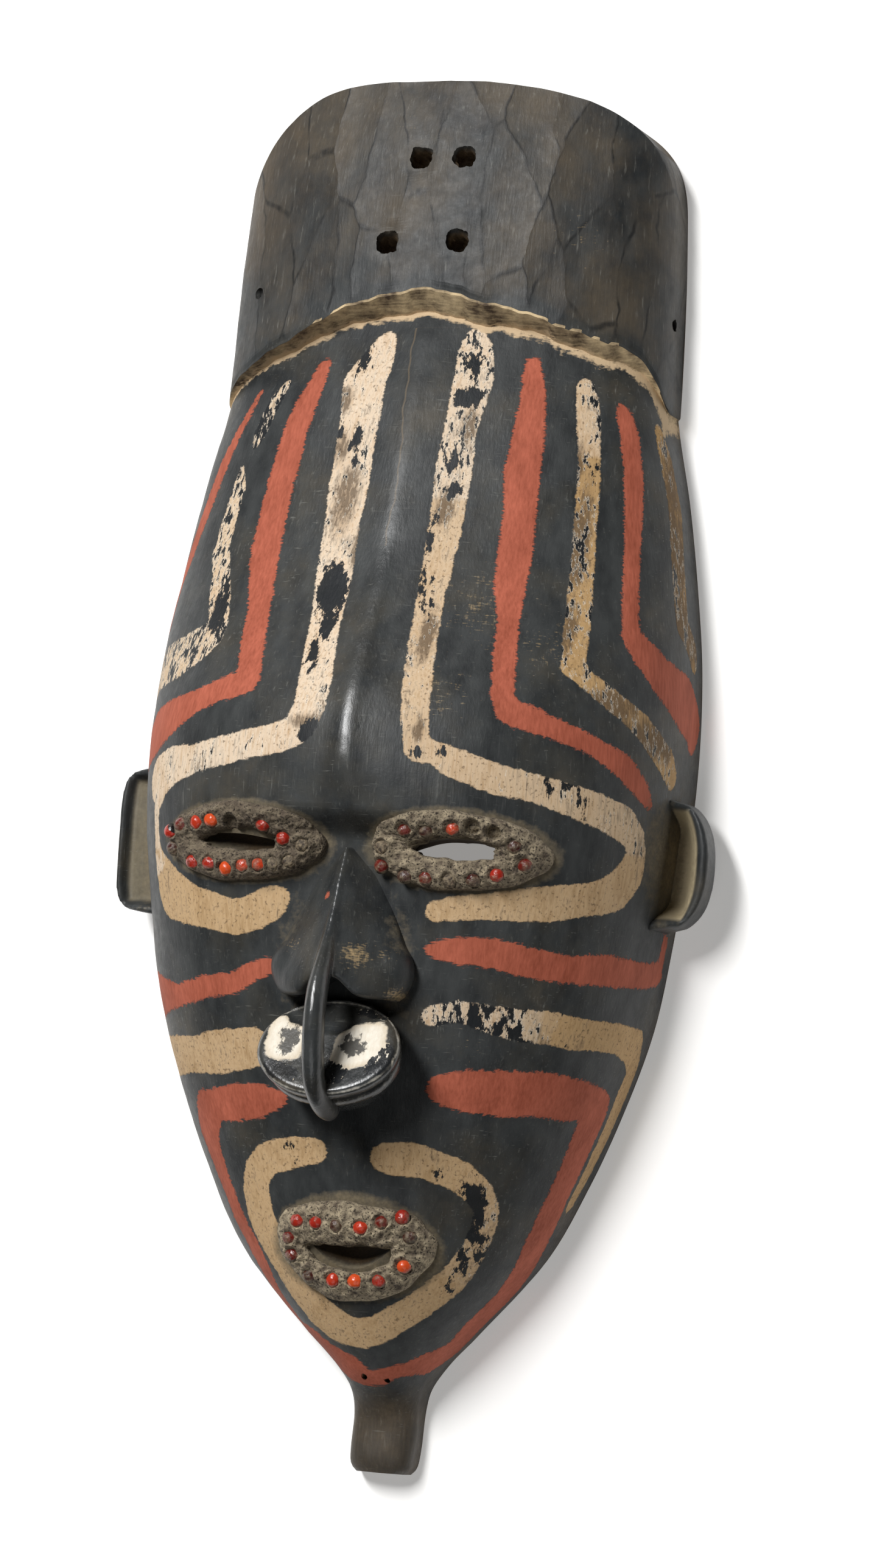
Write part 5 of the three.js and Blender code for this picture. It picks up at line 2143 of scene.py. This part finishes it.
@dataclass(frozen=True)
class FloorPaper:
    """Background paper on an opal light table: matt, near white, and lit a little from below."""

    colour: str = "#f7f6f4"
    roughness: float = 0.9
    glow: float = 0.3

    def build(self) -> bpy.types.Material:
        """Makes the material, with the faint fibre of paper.

        Returns:
            The paper.
        """
        nodes = MaterialNodes("background_paper")
        add = nodes.add
        fibre = add("TexNoise", {"Vector": "place", "Scale": 900.0, "Detail": 3.0}, "Fac")
        bump = add("Bump", {"Height": fibre, "Strength": 0.05, "Distance": MM}, "Normal")
        look = {"Base Color": self.colour, "Emission Color": self.colour, "Emission Strength": self.glow}
        nodes.feed(nodes.shader, look | {"Roughness": self.roughness, "Normal": bump})
        return nodes.material


@dataclass(frozen=True)
class Lamp:
    """An oblong soft box."""

    name: str
    place: Triple
    size: Pair
    power: float

    def build(self, target: Vector) -> None:
        """Hangs the lamp.

        Args:
            target: Where it points.
        """
        data = bpy.data.lights.new(self.name, "AREA")
        data.shape = "RECTANGLE"
        data.size, data.size_y = self.size
        data.energy = self.power
        lamp = bpy.data.objects.new(self.name, data)
        lamp.location = self.place
        lamp.rotation_euler = (target - Vector(self.place)).to_track_quat("-Z", "Y").to_euler()
        bpy.context.scene.collection.objects.link(lamp)


@dataclass(frozen=True)
class Studio:
    """A pale floor, soft light from the upper left, and the camera. Lengths are in metres."""

    floor_size: float = 6.0
    floor_drop: float = 0.0002
    yaw: float = 18.49
    pitch: float = 4.9
    roll: float = 4.1
    distance: float = 2.0
    lens: float = 140.4
    target: Triple = (0.01344, -0.00447, 0.0401)
    lit_spot: Triple = (0, 0, 0.04)
    lamps: tuple[Lamp, ...] = (
        Lamp("key", (-0.6, 1.1, 2.1), (0.42, 1.3), 74), Lamp("fill", (0.7, -1.5, 2.2), (1.6, 1.6), 9),
    )
    ambient: float = 0.12

    def camera_axes(self) -> Matrix:
        """Works out how the camera is turned.

        Returns:
            Its right, up and back directions as the columns of a matrix.
        """
        yaw, pitch, roll = (math.radians(v) for v in (self.yaw, self.pitch, self.roll))
        back = Vector((math.sin(yaw) * math.cos(pitch), -math.sin(pitch), math.cos(yaw) * math.cos(pitch)))
        right = Vector((0, 1, 0)).cross(back).normalized()
        up = back.cross(right)
        turned_right = math.cos(roll) * right + math.sin(roll) * up
        turned_up = math.cos(roll) * up - math.sin(roll) * right
        return Matrix((turned_right, turned_up, back)).transposed()

    def add_camera(self) -> None:
        """Makes the camera at the photograph's angle."""
        data = bpy.data.cameras.new("camera")
        data.lens = self.lens
        data.clip_end = 20
        camera = bpy.data.objects.new("camera", data)
        axes = self.camera_axes()
        place = Vector(self.target) + axes.col[2] * self.distance
        camera.matrix_world = Matrix.Translation(place) @ axes.to_4x4()
        bpy.context.scene.collection.objects.link(camera)
        bpy.context.scene.camera = camera

    def add_floor(self) -> None:
        """Lays the floor just under the back rim."""
        bm = bmesh.new()
        bmesh.ops.create_grid(bm, x_segments=1, y_segments=1, size=self.floor_size / 2)
        bmesh.ops.translate(bm, verts=bm.verts, vec=(0, 0, -self.floor_drop))
        floor = link_mesh(bm, "floor")
        floor.data.materials.append(FloorPaper().build())

    def build(self) -> None:
        """Sets up the floor, the lights, the world and the camera."""
        self.add_floor()
        for lamp in self.lamps:
            lamp.build(Vector(self.lit_spot))
        world = bpy.data.worlds.new("world")
        bpy.context.scene.world = world
        world.use_nodes = True
        world.node_tree.nodes["Background"].inputs["Strength"].default_value = self.ambient
        bpy.context.scene.view_settings.view_transform = "Standard"
        self.add_camera()
        LOG.info("studio: floor, %d lamps and camera", len(self.lamps))


def main() -> None:
    """Builds the mask's pieces in order, then the studio."""
    logging.basicConfig(level=logging.INFO, format="%(message)s")
    form, cap, slits = FaceForm(), CapForm(), Slits()
    carving = MaskShell(form, cap)
    shell = carving.build(slits.cutters())
    Surface(form, cap, RingedDisc(), carving.lashing_holes).build(shell)
    settle(shell, PaintedWood().build(), "carved_wood", "mask_body")
    putty, seed_coat = DriedPutty().build(), SeedCoat().build()
    for ring in PUTTY_RINGS:
        settle(ring.build(form), putty, "putty", f"putty_{ring.place}")
        for number in range(len(ring.seeds)):
            settle(ring.seed(number, form), seed_coat, "seed", f"seed_{ring.place}_{number + 1:02d}")
    Studio().build()


if __name__ == "__main__":
    main()
